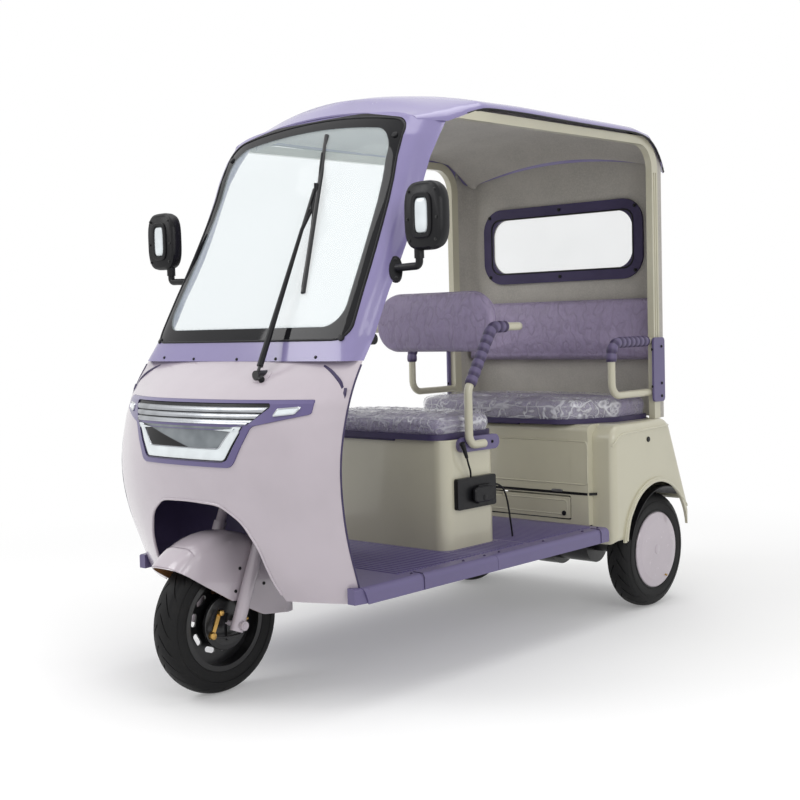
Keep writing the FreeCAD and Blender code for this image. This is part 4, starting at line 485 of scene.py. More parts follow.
class Skin:
    """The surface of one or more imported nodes, asked where a straight line meets it."""

    def __init__(self, *nodes):
        shape = form_of(*nodes)
        self.tree = BVHTree.FromBMesh(shape)
        self.edges = [tuple(vertex.co.copy() for vertex in edge.verts) for edge in shape.edges]
        shape.free()

    def meet(self, place, direction):
        """Where a line from a place meets the skin, with the skin's outward direction there."""
        hit, out, _, _ = self.tree.ray_cast(place, Vector(direction).normalized())
        if hit is None:
            hit, out, _, _ = self.tree.find_nearest(place)
        return hit, (out if out.dot(Vector(direction)) < 0 else -out)

    def front(self, across, height, start=AHEAD):
        """A place on the skin as seen from straight ahead, and the skin's outward direction there."""
        return self.meet(at(across, start, height), ALONG)

    def side(self, side, along, height):
        """The same as seen from one side."""
        return self.meet(at(side * BESIDE, along, height), ACROSS * -side)

    def slice(self, axis, level):
        """Where the skin's edges cross a plane."""
        found = []
        for one, two in self.edges:
            if (one[axis] - level) * (two[axis] - level) < 0:
                found.append(one.lerp(two, (level - one[axis]) / (two[axis] - one[axis])))
        return found


# Mesh code


def circle(count):
    """Angles evenly round a circle."""
    return [2 * math.pi * number / count for number in range(count)]


def calmed(line, times):
    """An open line whose inner places are drawn towards their neighbours."""
    for _ in range(times):
        line = [line[0]] + [(a + b * 2 + c) / 4 for a, b, c in zip(line, line[1:], line[2:])] + [line[-1]]
    return line


def settle(shape, name, sharp):
    """Weld a form's doubles, turn its faces outwards and shade it smooth between its sharp edges."""
    bmesh.ops.remove_doubles(shape, verts=shape.verts[:], dist=0.02 * MM)
    bmesh.ops.recalc_face_normals(shape, faces=shape.faces[:])
    limit = math.radians(sharp)
    for face in shape.faces:
        face.smooth = True
    for edge in shape.edges:
        edge.smooth = len(edge.link_faces) == 2 and edge.calc_face_angle() < limit
    mesh = bpy.data.meshes.new(name)
    shape.to_mesh(mesh)
    shape.free()
    return mesh


def joined(*shapes):
    """Several forms as one."""
    whole = bmesh.new()
    for shape in shapes:
        part = bpy.data.meshes.new("part")
        shape.to_mesh(part)
        shape.free()
        whole.from_mesh(part)
        bpy.data.meshes.remove(part)
    return whole


def loft(rings, ring=False, capped=True):
    """A form through outlines with the same number of places, its ends closed unless it is a ring."""
    shape = bmesh.new()
    loops = [[shape.verts.new(place) for place in outline] for outline in rings]
    following = loops[1:] + ([loops[0]] if ring else [])
    for one, two in zip(loops, following):
        for j in range(len(one)):
            k = (j + 1) % len(one)
            shape.faces.new((one[j], one[k], two[k], two[j]))
    if capped and not ring:
        shape.faces.new(loops[0][::-1])
        shape.faces.new(loops[-1])
    return shape


def shell(outer, inner, wrap=False):
    """A closed skin between two grids of places that lie one over the other."""
    shape = bmesh.new()
    top, low = [[[shape.verts.new(place) for place in row] for row in grid] for grid in (outer, inner)]
    rows = len(outer)
    columns = len(outer[0])
    spans = columns if wrap else columns - 1
    for layer in (top, low):
        for i in range(rows - 1):
            for j in range(spans):
                k = (j + 1) % columns
                shape.faces.new((layer[i][j], layer[i][k], layer[i + 1][k], layer[i + 1][j]))
    for i in (0, rows - 1):
        for j in range(spans):
            k = (j + 1) % columns
            shape.faces.new((top[i][j], top[i][k], low[i][k], low[i][j]))
    if not wrap:
        for j in (0, columns - 1):
            for i in range(rows - 1):
                shape.faces.new((top[i][j], top[i + 1][j], low[i + 1][j], low[i][j]))
    return shape


def bend(places, radii, steps=8):
    """A line through places that turns each inner corner on an arc of its radius in millimetres."""
    line = [places[0]]
    for before, corner, after, radius in zip(places, places[1:], places[2:], radii):
        back = (before - corner).normalized()
        onward = (after - corner).normalized()
        half = back.angle(onward) / 2
        reach = radius * MM / math.tan(half)
        centre = corner + (back + onward).normalized() * (radius * MM / math.sin(half))
        first = (corner + back * reach - centre).normalized()
        last = (corner + onward * reach - centre).normalized()
        line += [centre + first.slerp(last, step / steps) * (radius * MM) for step in range(steps + 1)]
    return line + [places[-1]]


def evened(line, spacing, closed=False):
    """The same line with a place every so many millimetres."""
    line = line + [line[0]] if closed else line
    lengths = [(two - one).length for one, two in zip(line, line[1:])]
    whole = sum(lengths)
    count = max(2, round(whole / (spacing * MM)))
    result = []
    i = 0
    passed = 0.0
    for step in range(count if closed else count + 1):
        goal = min(whole * step / count, whole - 1e-9)
        while passed + lengths[i] < goal and i < len(lengths) - 1:
            passed += lengths[i]
            i += 1
        share = min(1.0, (goal - passed) / lengths[i]) if lengths[i] else 0.0
        result.append(line[i].lerp(line[i + 1], share))
    return result


def swept(path, radius, sides=20):
    """A round bar along a path; its radius in millimetres may change with the distance run."""
    side = (path[1] - path[0]).orthogonal().normalized()
    rings = []
    run = 0.0
    for i, place in enumerate(path):
        ahead = (path[min(i + 1, len(path) - 1)] - path[max(i - 1, 0)]).normalized()
        side = (side - ahead * side.dot(ahead)).normalized()
        up = ahead.cross(side)
        run += (place - path[i - 1]).length / MM if i else 0.0
        reach = (radius(run) if callable(radius) else radius) * MM
        rings.append([place + (side * math.cos(turn) + up * math.sin(turn)) * reach for turn in circle(sides)])
    return loft(rings)


def hoop(line, radius, sides=8):
    """A round bar along a closed line."""
    count = len(line)
    middle = sum(line, Vector()) / count
    face = sum(((line[i - 1] - middle).cross(line[i] - middle) for i in range(count)), Vector()).normalized()
    rings = []
    for i, place in enumerate(line):
        ahead = (line[(i + 1) % count] - line[i - 1]).normalized()
        side = ahead.cross(face).normalized()
        up = side.cross(ahead)
        rings.append([place + (side * math.cos(turn) + up * math.sin(turn)) * (radius * MM)
                      for turn in circle(sides)])
    return loft(rings, ring=True)


def badge(centre, across, up, outlines, square=2.0, count=40):
    """A raised form of stacked outlines, each a half width, a half height and how far it stands out."""
    out = across.cross(up)

    def curl(value):
        return math.copysign(abs(value) ** (2 / square), value)

    def place(turn, wide, tall, lift):
        return centre + (across * (wide * curl(math.cos(turn))) + up * (tall * curl(math.sin(turn))) + out * lift) * MM

    return loft([[place(turn, *outline) for turn in circle(count)] for outline in outlines])


def dome(radius, height, low=-1.0):
    """The outlines of a round cap with a softened edge."""
    return [(radius, radius, low), (radius, radius, height * 0.55), (radius * 0.88, radius * 0.88, height * 0.9),
            (radius * 0.6, radius * 0.6, height)]


BODY_OF = {node: body for body, nodes in frame["record"]["behaviour"]["bodies"].items() for node in nodes}


def piece(name, form, finish, body="cabin", replaces=(), sharp=40.0):
    """Put a form or a finished mesh in the scene on the body that it moves with."""
    mesh = settle(form, name, sharp) if isinstance(form, bmesh.types.BMesh) else form
    thing = placed(name, mesh)
    mesh.materials.append(finishes[finish])
    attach(thing, body)
    if replaces:
        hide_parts(*replaces)
    return thing


def smooth_copy(name, node, finish, sharp=28.0):
    """A packed shell again, welded into one surface so that its strips shade as one."""
    piece(name, form_of(node), finish, BODY_OF[node], [node], sharp)


# What repeats


def repeater(name, sizes, build):
    """A Geometry Nodes tree with a mesh input, named sizes and a material at its end."""
    tree = bpy.data.node_groups.new(name, "GeometryNodeTree")
    tree.interface.new_socket("Geometry", in_out="INPUT", socket_type="NodeSocketGeometry")
    for label, kind in sizes.items():
        tree.interface.new_socket(label, in_out="INPUT", socket_type="NodeSocket" + kind)
    tree.interface.new_socket("Finish", in_out="INPUT", socket_type="NodeSocketMaterial")
    tree.interface.new_socket("Geometry", in_out="OUTPUT", socket_type="NodeSocketGeometry")
    entry = tree.nodes.new("NodeGroupInput")

    def add(kind, settings=None, **links):
        node = tree.nodes.new(kind)
        for key, value in (settings or {}).items():
            setattr(node, key, value)
        for key, value in links.items():
            place = node.inputs[key.replace("_", " ")]
            if isinstance(value, bpy.types.NodeSocket):
                tree.links.new(value, place)
            else:
                place.default_value = value
        return node.outputs[0]

    instances = build(add, entry.outputs)
    whole = add("GeometryNodeRealizeInstances", Geometry=instances)
    coated = add("GeometryNodeSetMaterial", Geometry=whole, Material=entry.outputs["Finish"])
    end = tree.nodes.new("NodeGroupOutput")
    tree.links.new(coated, end.inputs[0])
    return tree


def applied(name, mesh, tree, finish, body, **sizes):
    """Run a tree on a mesh and keep its result as a plain piece."""
    thing = placed(name, mesh)
    change = thing.modifiers.new("repeat", "NODES")
    change.node_group = tree
    for socket in tree.interface.items_tree:
        if socket.in_out == "INPUT" and socket.name in sizes:
            change[socket.identifier] = sizes[socket.name]
        elif socket.in_out == "INPUT" and socket.name == "Finish":
            change[socket.identifier] = finishes[finish]
    bpy.context.view_layer.update()
    result = bpy.data.meshes.new_from_object(thing.evaluated_get(bpy.context.evaluated_depsgraph_get()))
    bpy.data.objects.remove(thing)
    shape = bmesh.new()
    shape.from_mesh(result)
    bpy.data.meshes.remove(result)
    for face in shape.faces:
        face.material_index = 0
    piece(name, shape, finish, body, sharp=30.0)


def screw_heads(add, sizes):
    """A round head on a flat washer at each point, facing along the point's own direction."""
    turn = add("FunctionNodeAlignRotationToVector", {"axis": "Z"},
               Vector=add("GeometryNodeInputNamedAttribute", {"data_type": "FLOAT_VECTOR"}, Name="facing"))
    washer = add("GeometryNodeMeshCone", None, Vertices=14, Radius_Top=0.92, Radius_Bottom=1.0, Depth=0.45)
    head = add("GeometryNodeMeshCone", None, Vertices=14, Radius_Top=0.38, Radius_Bottom=0.66, Depth=0.9)
    both = add("GeometryNodeJoinGeometry", Geometry=washer)
    join = both.node
    join.id_data.links.new(head, join.inputs[0])
    return add("GeometryNodeInstanceOnPoints", Points=sizes["Geometry"], Instance=both, Rotation=turn,
               Scale=sizes["Radius"])


def bars(add, sizes):
    """Low rounded bars, one after another."""
    line = add("GeometryNodeMeshLine", None, Count=sizes["Count"], Start_Location=sizes["First"],
               Offset=sizes["Step"])
    run = add("GeometryNodeCurvePrimitiveLine", None, Start=sizes["Start"], End=sizes["End"])
    edge = add("GeometryNodeCurvePrimitiveCircle", None, Resolution=8, Radius=sizes["Radius"])
    bar = add("GeometryNodeCurveToMesh", None, Curve=run, Profile_Curve=edge, Fill_Caps=True)
    low = add("GeometryNodeTransform", None, Geometry=bar, Scale=sizes["Squash"])
    return add("GeometryNodeInstanceOnPoints", Points=line, Instance=low)


SCREWS = repeater("screw heads", {"Radius": "Float"}, screw_heads)
BARS = repeater("low bars", {"Count": "Int", "First": "Vector", "Step": "Vector", "Start": "Vector", "End": "Vector",
                             "Radius": "Float", "Squash": "Vector"}, bars)


def screws(name, spots, radius, finish="black_plastic", body="cabin"):
    """Screw heads of one size at spots, each a place and a direction."""
    mesh = bpy.data.meshes.new(name)
    mesh.from_pydata([place for place, _ in spots], [], [])
    facing = mesh.attributes.new("facing", "FLOAT_VECTOR", "POINT")
    for entry, (_, out) in zip(facing.data, spots):
        entry.vector = out
    applied(name, mesh, SCREWS, finish, body, Radius=radius * MM)


def ribs(name, first, count, half_length, step=20, radius=5.5, height=3.2):
    """Low bars across the vehicle, each lying half in the surface that carries it."""
    mesh = bpy.data.meshes.new(name)
    mesh.from_pydata([(0, 0, 0)], [], [])
    half = ACROSS * (half_length * MM)
    applied(name, mesh, BARS, "purple_paint", "cabin", Count=count, First=first, Step=ALONG * (step * MM),
            Start=-half, End=half, Radius=radius * MM, Squash=(1.0, 1.0, height / radius))


# Shells welded smooth

smooth_copy("nose_shell", "front_fairing", "lilac_paint")
smooth_copy("screen_surround", "windscreen_surround", "lavender_paint")
smooth_copy("roof_shell", "roof", "lavender_paint", 32.0)
smooth_copy("roof_inner_lining", "roof_lining", "lining", 32.0)
smooth_copy("screen_glass", "windscreen", "screen_glass")


def knee_panel():
    """The panel behind the nose, its sides drawn in behind the nose's edge."""
    shape = form_of("dash_panel")
    for vertex in shape.verts:
        share = min(1.0, max(0.0, (abs(vertex.co.x) / MM - 330) / 100))
        vertex.co.x -= math.copysign(share * 16 * MM, vertex.co.x)
        vertex.co.y -= share * 14 * MM
    piece("knee_panel", shape, "dark_purple", "cabin", ["dash_panel"], 30.0)


def guard():
    """The front mudguard, painted outside and bare brown moulding inside."""
    mesh = piece("mudguard_shell", form_of("front_mudguard"), "lilac_paint", "steering", ["front_mudguard"], 30.0).data
    mesh.materials.append(finishes["brown_moulding"])
    hub = at(0, 0, WHEEL_RADIUS / MM)
    for face in mesh.polygons:
        inward = hub - face.center
        inward.x = -face.center.x * 1.6
        if face.normal.dot(inward.normalized()) > 0.35:
            face.material_index = 1


knee_panel()
guard()

# Tyres


def tyre(name, node, wide, bead=128, pitches=22):
    """A tyre with swept grooves, staggered left and right, and two fine rings on each wall."""
    low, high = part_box(node)
    hub = (low + high) / 2
    radius = (high.z - low.z) / 2 / MM
    shoulder, drop = 0.62, 5.2
    fall, slit, slit_depth, groove = 3.8, 2.4, 4.6, (0.07, 0.90)
    profile = [(-0.80, bead), (-0.93, bead + 9), (-0.985, bead + 22), (-1.0, bead + 34), (-0.965, bead + 48),
               (-0.885, radius - 18), (-0.76, radius - 9.5), (-shoulder, radius - drop)]
    crown = [(share, radius - drop * abs(share / shoulder) ** 2.1)
             for share in [k / 20 * shoulder for k in range(-19, 20)]]
    profile = profile + crown + [(-share, height) for share, height in reversed(profile)]
    line = []
    for (a, b), (c, d) in zip(profile, profile[1:]):
        parts = 1 if abs(a) <= shoulder and abs(c) <= shoulder else 4
        line += [(a + (c - a) * k / parts, b + (d - b) * k / parts) for k in range(parts)]
    line.append(profile[-1])
    pitch = 2 * math.pi / pitches
    per_mm = 1 / radius
    cuts = []
    for middle in (0.0, 0.5):
        cuts += [middle * pitch + offset * per_mm for offset in (-fall, -slit, 0.0, slit, fall)]
        one, two = middle * pitch + fall * per_mm, (middle + 0.5) * pitch - fall * per_mm
        cuts += [one + (two - one) * k / 4 for k in (1, 2, 3)]
    turns = [(number * pitch + cut, cut) for number in range(pitches) for cut in sorted(cuts)]

    def depth(cut, share):
        reach = abs(share)
        if not groove[0] < reach < groove[1]:
            return 0.0
        middle = 0.0 if share > 0 else pitch / 2
        away = min(abs(cut - middle), abs(cut - middle + pitch), abs(cut - middle - pitch)) * radius
        fade = min(1.0, (reach - groove[0]) / 0.07, (groove[1] - reach) / 0.10)
        return (slit_depth if away < slit + 0.2 else 0.0) * fade

    def place(share, reach, turn):
        return hub + Vector((share * wide * MM, math.cos(turn) * reach * MM, math.sin(turn) * reach * MM))

    rings = []
    for share, height in line:
        swing = (abs(share) / 0.8) ** 1.3 * 0.34
        rings.append([place(share, height - depth(cut, share), turn + swing) for turn, cut in turns])
    shape = loft(rings, capped=False)
    for side in SIDES:
        for reach, share in ((bead + 12, 0.945), (bead + 42, 0.99)):
            shape = joined(shape, hoop([place(side * share, reach, turn) for turn in circle(120)], 1.5, 6))
    piece(name, shape, "tyre", BODY_OF[node], [node], 50.0)


for word, node, half_width in (("front", "front_tyre", 42), ("left", "rear_tyre_left", 46),
                               ("right", "rear_tyre_right", 46)):
    tyre(f"{word}_tyre_tread", node, half_width)

# Cushions and backrests


def hull(points):
    """The convex outline of flat points."""
    points = sorted(set(points))
    halves = []
    for run in (points, points[::-1]):
        half = []
        for point in run:
            while len(half) > 1 and ((half[-1][0] - half[-2][0]) * (point[1] - half[-2][1])
                                     - (half[-1][1] - half[-2][1]) * (point[0] - half[-2][0])) <= 0:
                half.pop()
            half.append(point)
        halves += half[:-1]
    return halves


def creased(place, size, sharp):
    """A value from 0 to 1 that peaks along thin wandering lines."""
    bent = place + Vector(noise.noise_vector(place * (0.6 / size))) * (0.5 * size)
    return (1 - min(1.0, abs(noise.noise(bent / size)) * 2.4)) ** sharp


class Pad:
    """A soft form with a packed pad's outline: a crowned face, full sides and a flat back."""

    side_rings, corner_rings = 8, 10
    face_share = 0.985

    def __init__(self, node, across, up, out, crown, edge, count, rows):
        mesh = bpy.data.objects[node].data
        corners = [vertex.co for vertex in mesh.vertices]
        points = hull([(round(corner.dot(across), 5), round(corner.dot(up), 5)) for corner in corners])
        around = sum(math.dist(p, q) for p, q in zip(points, points[1:] + points[:1]))
        line = evened([Vector((a, b, 0)) for a, b in points], around / MM / count, closed=True)
        for _ in range(6):
            line = [(line[i - 1] + line[i] * 2 + line[(i + 1) % len(line)]) / 4 for i in range(len(line))]
        self.node, self.across, self.up, self.out = node, across, up, out
        self.line = line
        self.centre = sum(line, Vector()) / len(line)
        self.low = min(corner.dot(out) for corner in corners)
        self.high = max(corner.dot(out) for corner in corners)
        self.crown, self.edge, self.rows = crown * MM, edge * MM, rows

    def places(self, grow=0.0, push=None):
        """Rings from the back's edge, up the side and over to the middle of the face."""
        line = self.line
        count = len(line)
        inward = []
        for i in range(count):
            ahead = (line[(i + 1) % count] - line[i - 1]).normalized()
            inward.append(Vector((-ahead.y, ahead.x, 0)))
        thick = self.high - self.low - self.crown
        shape = []
        for k in range(self.side_rings):
            share = k / self.side_rings
            shape.append((self.edge * 0.2 * (1 - math.sin(math.pi / 2 * share)),
                          self.low + (thick - self.edge) * share))
        for k in range(self.corner_rings):
            turn = math.pi / 2 * k / (self.corner_rings - 1)
            shape.append((self.edge * (1 - math.cos(turn)),
                          self.low + thick - self.edge + self.edge * math.sin(turn)))
        rings = [[(place + way * (inset - grow * MM), level) for place, way in zip(line, inward)]
                 for inset, level in shape]
        border = rings[-1]
        for k in range(1, self.rows + 1):
            share = (k / self.rows) * self.face_share
            rise = self.crown * (1 - (1 - share) ** 2.4)
            rings.append([(place.lerp(self.centre, share), level + rise) for place, level in border])
        result = []
        for number, ring in enumerate(rings):
            row = []
            for i, (place, level) in enumerate(ring):
                spot = self.lay(place, level + (grow * MM if number > self.corner_rings else 0))
                if push:
                    lean = min(1.0, number / (self.side_rings + self.corner_rings - 1))
                    way = self.across * inward[i].x + self.up * inward[i].y
                    out = (self.out * lean - way * (1 - lean)).normalized()
                    spot = spot + out * (push(spot, min(1.0, number / self.side_rings)) * MM)
                row.append(spot)
            result.append(row)
        return result

    def lay(self, place, level):
        """A flat place at a level above the pad's back, in the scene."""
        return self.across * place.x + self.up * place.y + self.out * level

    def solid(self, push):
        """The pad itself, its back closed."""
        back = [[self.lay(place.lerp(self.centre, share), self.low) for place in self.line]
                for share in (self.face_share, 0.6, 0.2)]
        return loft(back + self.places(push=push))


def seat_wrinkle(place, share):
    """Soft puckers of a stuffed cover in millimetres."""
    return (noise.noise(place * 9.0) * 1.6 - creased(place, 0.09, 3.0) * 1.2) * share


def back_wrinkle(place, share):
    """Upright puckers of a backrest's cover in millimetres."""
    stretched = Vector((place.x, place.y, place.z * 0.45))
    return (noise.noise(place * 7.0) * 1.8 - creased(stretched, 0.06, 2.5) * 2.0) * share


def film_crinkle(place, share):
    """Loose film: broad bellies with sharp folds on them."""
    skewed = Vector((place.x * 0.7 + place.y * 0.5, place.y * 0.9 - place.x * 0.3, place.z))
    rise = 1.6 + noise.noise(place * 11.0) * 1.7 + creased(skewed, 0.05, 4.0) * 4.2 + creased(place, 0.022, 3.0) * 1.2
    return rise * (0.35 + 0.65 * share)


for place, edge, count, rows in (("front", 20, 300, 56), ("rear", 22, 360, 60)):
    form = Pad(f"{place}_cushion", ACROSS, ALONG, UP, 12, edge, count, rows)
    body = BODY_OF[form.node]
    cover = piece(f"{place}_seat_pad", form.solid(seat_wrinkle), "cushion_cover", body, [form.node], 60.0)
    film = loft(form.places(grow=2.0, push=film_crinkle), capped=False)
    area = sum(face.calc_area() for face in film.faces)
    wrap = piece(f"{place}_seat_film", film, "film", body, sharp=65.0)
for place, crown, count in (("front", 14, 300), ("rear", 16, 360)):
    form = Pad(f"{place}_backrest", -ACROSS, UP, -ALONG, crown, 22, count, 50)
    cover = piece(f"{place}_back_pad", form.solid(back_wrinkle), "mauve_leather", "cabin", [form.node], 60.0)
    piece(f"{place}_back_piping", hoop(form.places(grow=0.6)[6], 2.0), "mauve_leather")

# Grips

WOUND_PITCH = 29.0
WOUND_RADIUS = 18.6
WOUND_STEP = 2.0


def grip(name, places, radii, first, last):
    """A soft sleeve wound in overlapping turns along part of a bent tube, its runs given in millimetres."""
    line = evened(bend(places, radii, 10), WOUND_STEP)
    path = line[round(first / WOUND_STEP):round(last / WOUND_STEP)]
    length = WOUND_STEP * (len(path) - 1)

    def radius(run):
        turn = (run / WOUND_PITCH) % 1.0
        end = min(1.0, run / 5.0, (length - run) / 5.0)
        return (WOUND_RADIUS - 2.4) + end * (1.2 + 1.5 * math.sin(math.pi * min(1.0, turn * 1.12)) ** 0.7)

    mesh = settle(swept(path, radius, 28), name, 50.0)
    marks = mesh.attributes.new("turn", "FLOAT", "POINT")
    for mark, vertex in zip(marks.data, mesh.vertices):
        nearest = min(range(len(path)), key=lambda i: (path[i] - vertex.co).length_squared)
        mark.value = nearest * WOUND_STEP / WOUND_PITCH
    piece(name, mesh, "grip")


for side, word in SIDE_WORDS:
    for kind, across, spots, radii, first, last in (
            ("backrest", 342.6, ((735, 790), (735, 825), (860, 1015), (1024, 1015)), [45, 45], 52, 330),
            ("armrest", 448, ((1378, 860), (1378, 950), (1616, 950)), [45], 26, 300)):
        grip(f"{word}_{kind}_grip", [at(side * across, *spot) for spot in spots], radii, first, last)


# Leads

LEAD_RADIUS = 3.0


def lead(name, node, route):
    """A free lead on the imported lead's own route."""
    line = bpy.data.curves.new(name, "CURVE")
    line.dimensions = "3D"
    line.bevel_depth = LEAD_RADIUS * MM
    line.bevel_resolution = 6
    line.use_fill_caps = True
    spline = line.splines.new("NURBS")
    spline.points.add(len(route) - 1)
    for point, spot in zip(spline.points, route):
        point.co = (*at(*spot), 1.0)
    spline.order_u = 3
    spline.use_endpoint_u = True
    spline.resolution_u = 10
    thing = piece(name, line, "lead", "cabin", [node])


lead("charger_cord", "charger_lead", ((343, 722, 616.5), (341, 732, 592.5), (336, 748, 572.5), (329, 756, 553.5)))
lead("panel_cord", "panel_lead", ((325, 881.2, 519.0), (329, 899.8, 514.9), (330, 921.8, 496.9), (329, 937.8, 466.0),
                                  (325, 951.8, 429.9), (321, 965.8, 388.0), (317, 979.8, 335.6)))

# Nose

nose = Skin("front_fairing", "windscreen_surround")
lamp = Skin("lamp_housing", "lamp_lens", "lamp_grille")


def flat_line(line, spacing, closed=False):
    """A line of (x, z) places, evened out."""
    return evened([Vector((x, 0, z)) * MM for x, z in line], spacing, closed)


def strip(skin, first, last, count, across, rise):
    """A raised strip between two lines of (x, z) places that are followed over a skin."""
    one, two = (flat_line(line, sum(math.dist(p, q) for p, q in zip(line, line[1:])) / count)
                for line in (first, last))
    top, low = [], []
    for a, b in zip(one, two):
        row, under = [], []
        for k in range(across + 1):
            share = k / across
            spot = a.lerp(b, share) / MM
            hit, _ = skin.front(spot.x, spot.z)
            lift = rise * (0.55 + 0.45 * math.sin(math.pi * share) ** 0.6 if 0 < share < 1 else 0.45)
            row.append(hit - ALONG * (lift * MM))
            under.append(hit + ALONG * MM)
        top.append(row)
        low.append(under)
    return shell(top, low)


def ring_strip(skin, outline, width, lifts, spacing=8.0, start=IN_CABIN):
    """A raised closed line inside an (x, z) outline over a skin; lifts hold (share of the width, rise)."""
    line = flat_line(outline, spacing, True)
    middle = sum(line, Vector()) / len(line)
    top, low = [], []
    for i, spot in enumerate(line):
        ahead = (line[(i + 1) % len(line)] - line[i - 1]).normalized()
        side = Vector((-ahead.z, 0, ahead.x))
        if side.dot(middle - spot) < 0:
            side = -side
        hits = []
        for share, _ in lifts:
            place = (spot + side * (width * MM * share)) / MM
            hits.append(skin.front(place.x, place.z, start)[0])
        top.append([hit - ALONG * (lift * MM) for hit, (_, lift) in zip(hits, lifts)])
        low.append([hit + ALONG * MM for hit in hits])
    return shell([list(row) for row in zip(*top)], [list(row) for row in zip(*low)], wrap=True)


def soft_edged(rise):
    """The lifts of a low moulding that runs out at both edges."""
    return (0.0, 0.1), (0.3, rise), (0.7, rise), (1.0, 0.1)


def rounded_outline(corners, radii, steps=5):
    """A flat outline with its corners rounded, as (x, z) places."""
    count = len(corners)
    line = []
    for i, (corner, radius) in enumerate(zip(corners, radii)):
        before, here, after = (Vector((*corners[(i + k) % count], 0)) * MM for k in (-1, 0, 1))
        line += bend([before, here, after], [radius], steps)[1:-1]
    return [(place.x / MM, place.y / MM) for place in line]


def bar_line(top, side, foot, low, corner):
    """One edge of the light bar's U, from its left top round its foot to its right top."""
    places = [Vector((x, z, 0)) * MM for x, z in ((-top, side), (-foot, low), (foot, low), (top, side))]
    return [(place.x / MM, place.y / MM) for place in bend(places, [corner, corner], 6)]


outside, outer, inner, border = (bar_line(*sizes) for sizes in (
    (225, 770, 167, 672, 17), (221, 768, 164, 677, 16), (196, 768, 147, 706, 18), (192, 768, 144.5, 710, 17)))
for name, first, last, across, rise, finish in (("light_bar_seat", outside, outer, 2, 2.6, "black_plastic"),
                                                ("light_bar", outer, inner, 6, 4.5, "light_bar"),
                                                ("light_bar_border", inner, border, 2, 4.0, "chrome")):
    piece(name, strip(lamp, first, last, 90, across, rise), finish, sharp=60.0)
rows = []
for k in range(13):
    height = 708 + 60 * k / 12
    half = 143.5 + 49.5 * (height - 710) / 58
    rows.append([lamp.front(half * (2 * j / 40 - 1), height)[0] - ALONG * (1.4 * MM) for j in range(41)])
under = [[place + ALONG * (2.4 * MM) for place in row] for row in rows]
piece("lamp_panel", shell(rows, under), "dark_glass", sharp=60.0)
strips = []
for low, high in ((775, 787), (790, 803), (806, 820)):
    ends = [(236 + (level - 772) * 0.98) for level in (low, high)]
    strips.append(strip(lamp, [(-ends[0], low), (ends[0], low)], [(-ends[1], high), (ends[1], high)], 90, 5, 5.0))
piece("grille_strips", joined(*strips), "chrome_strip", sharp=60.0)
frames, lenses = [], []
for side in SIDES:
    corners = [(side * x, z) for x, z in ((309, 817), (371, 822), (356, 800), (300, 794))]
    outline = rounded_outline(corners, (3, 5, 4, 4))
    frames.append(ring_strip(lamp, outline, 4.0, ((0.0, 1.6), (0.25, 4.0), (0.75, 4.0), (1.0, 1.6)), 3.0, AHEAD))
    low, high = ([(side * x, z) for x, z in ends] for ends in (((303, 796), (355, 802)), ((311, 815), (367, 820))))
    lenses.append(strip(lamp, low, high, 16, 6, 3.0))
piece("turn_lamp_borders", joined(*frames), "chrome", sharp=50.0)
piece("turn_lamp_lenses", joined(*lenses), "light_bar", sharp=50.0)
spots = ((-178, 943), (17, 942), (178, 943), (328, 947), (-328, 947))
screws("band_screws", [nose.front(*spot) for spot in spots], 4.6)
dish, facing = nose.front(184, 897)
level = facing.cross(UP).normalized()
dish_form = [(27, 30, -2), (27, 30, 0.8), (24, 27, 2.4), (21.5, 24, 2.0), (20, 22.5, 0.6), (8, 9, 0.5)]
piece("wiper_dish", badge(dish, -level, facing.cross(level), dish_form), "lilac_paint", sharp=50.0)
cap_place, facing = nose.front(198, 886)
level = UP.cross(facing).normalized()
piece("wiper_nut", badge(cap_place, level, facing.cross(level), dome(9, 14)), "black_plastic")

fairing_skin = Skin("front_fairing")
for side, word in SIDE_WORDS:
    line = []
    for height in range(296, 935, 14):
        found = [spot for spot in fairing_skin.slice(2, height * MM) if spot.x * side > 0]
        if found:
            line.append(max(found, key=lambda spot: spot.y + 0.5 * spot.x * side))
    piece(f"{word}_nose_edge", swept(evened(calmed(line, 3), 10), 2.6, 10), "dark_purple", sharp=60.0)

# Wiper, gasket and arch lips

wiper_skin = Skin("wiper")


def wiper_place(across, height):
    """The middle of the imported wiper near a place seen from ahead."""
    found = [spot for spot in wiper_skin.slice(2, height * MM) if abs(spot.x - across * MM) < 0.016]
    return sum(found, Vector()) / len(found) if found else None


def wiper_line(across, lean, low, heights):
    """The middle of one of the wiper's bars, which leans by a share of its height over a low end."""
    found = [wiper_place(across - lean * (height - low), height) for height in heights]
    return evened([place for place in found if place], 12)


arm_line = wiper_line(178, 60 / 527, 901, range(925, 1421, 55))
blade_line = wiper_line(203, 120 / 472, 1124, range(1140, 1590, 50))
reach = len(arm_line) * 12.0
middle = wiper_place(118, 1420)
piece("wiper_cover", joined(
    swept(arm_line, lambda run: 9.0 - 4.6 * min(1.0, run / reach), 14),
    swept([place - ALONG * (3 * MM) for place in blade_line],
          lambda run: 3.0 + 1.4 * math.sin(math.pi * min(1.0, run / 430)), 12),
    swept([middle - UP * (26 * MM), middle, middle + UP * (26 * MM)], 6.2, 14)), "black_plastic")

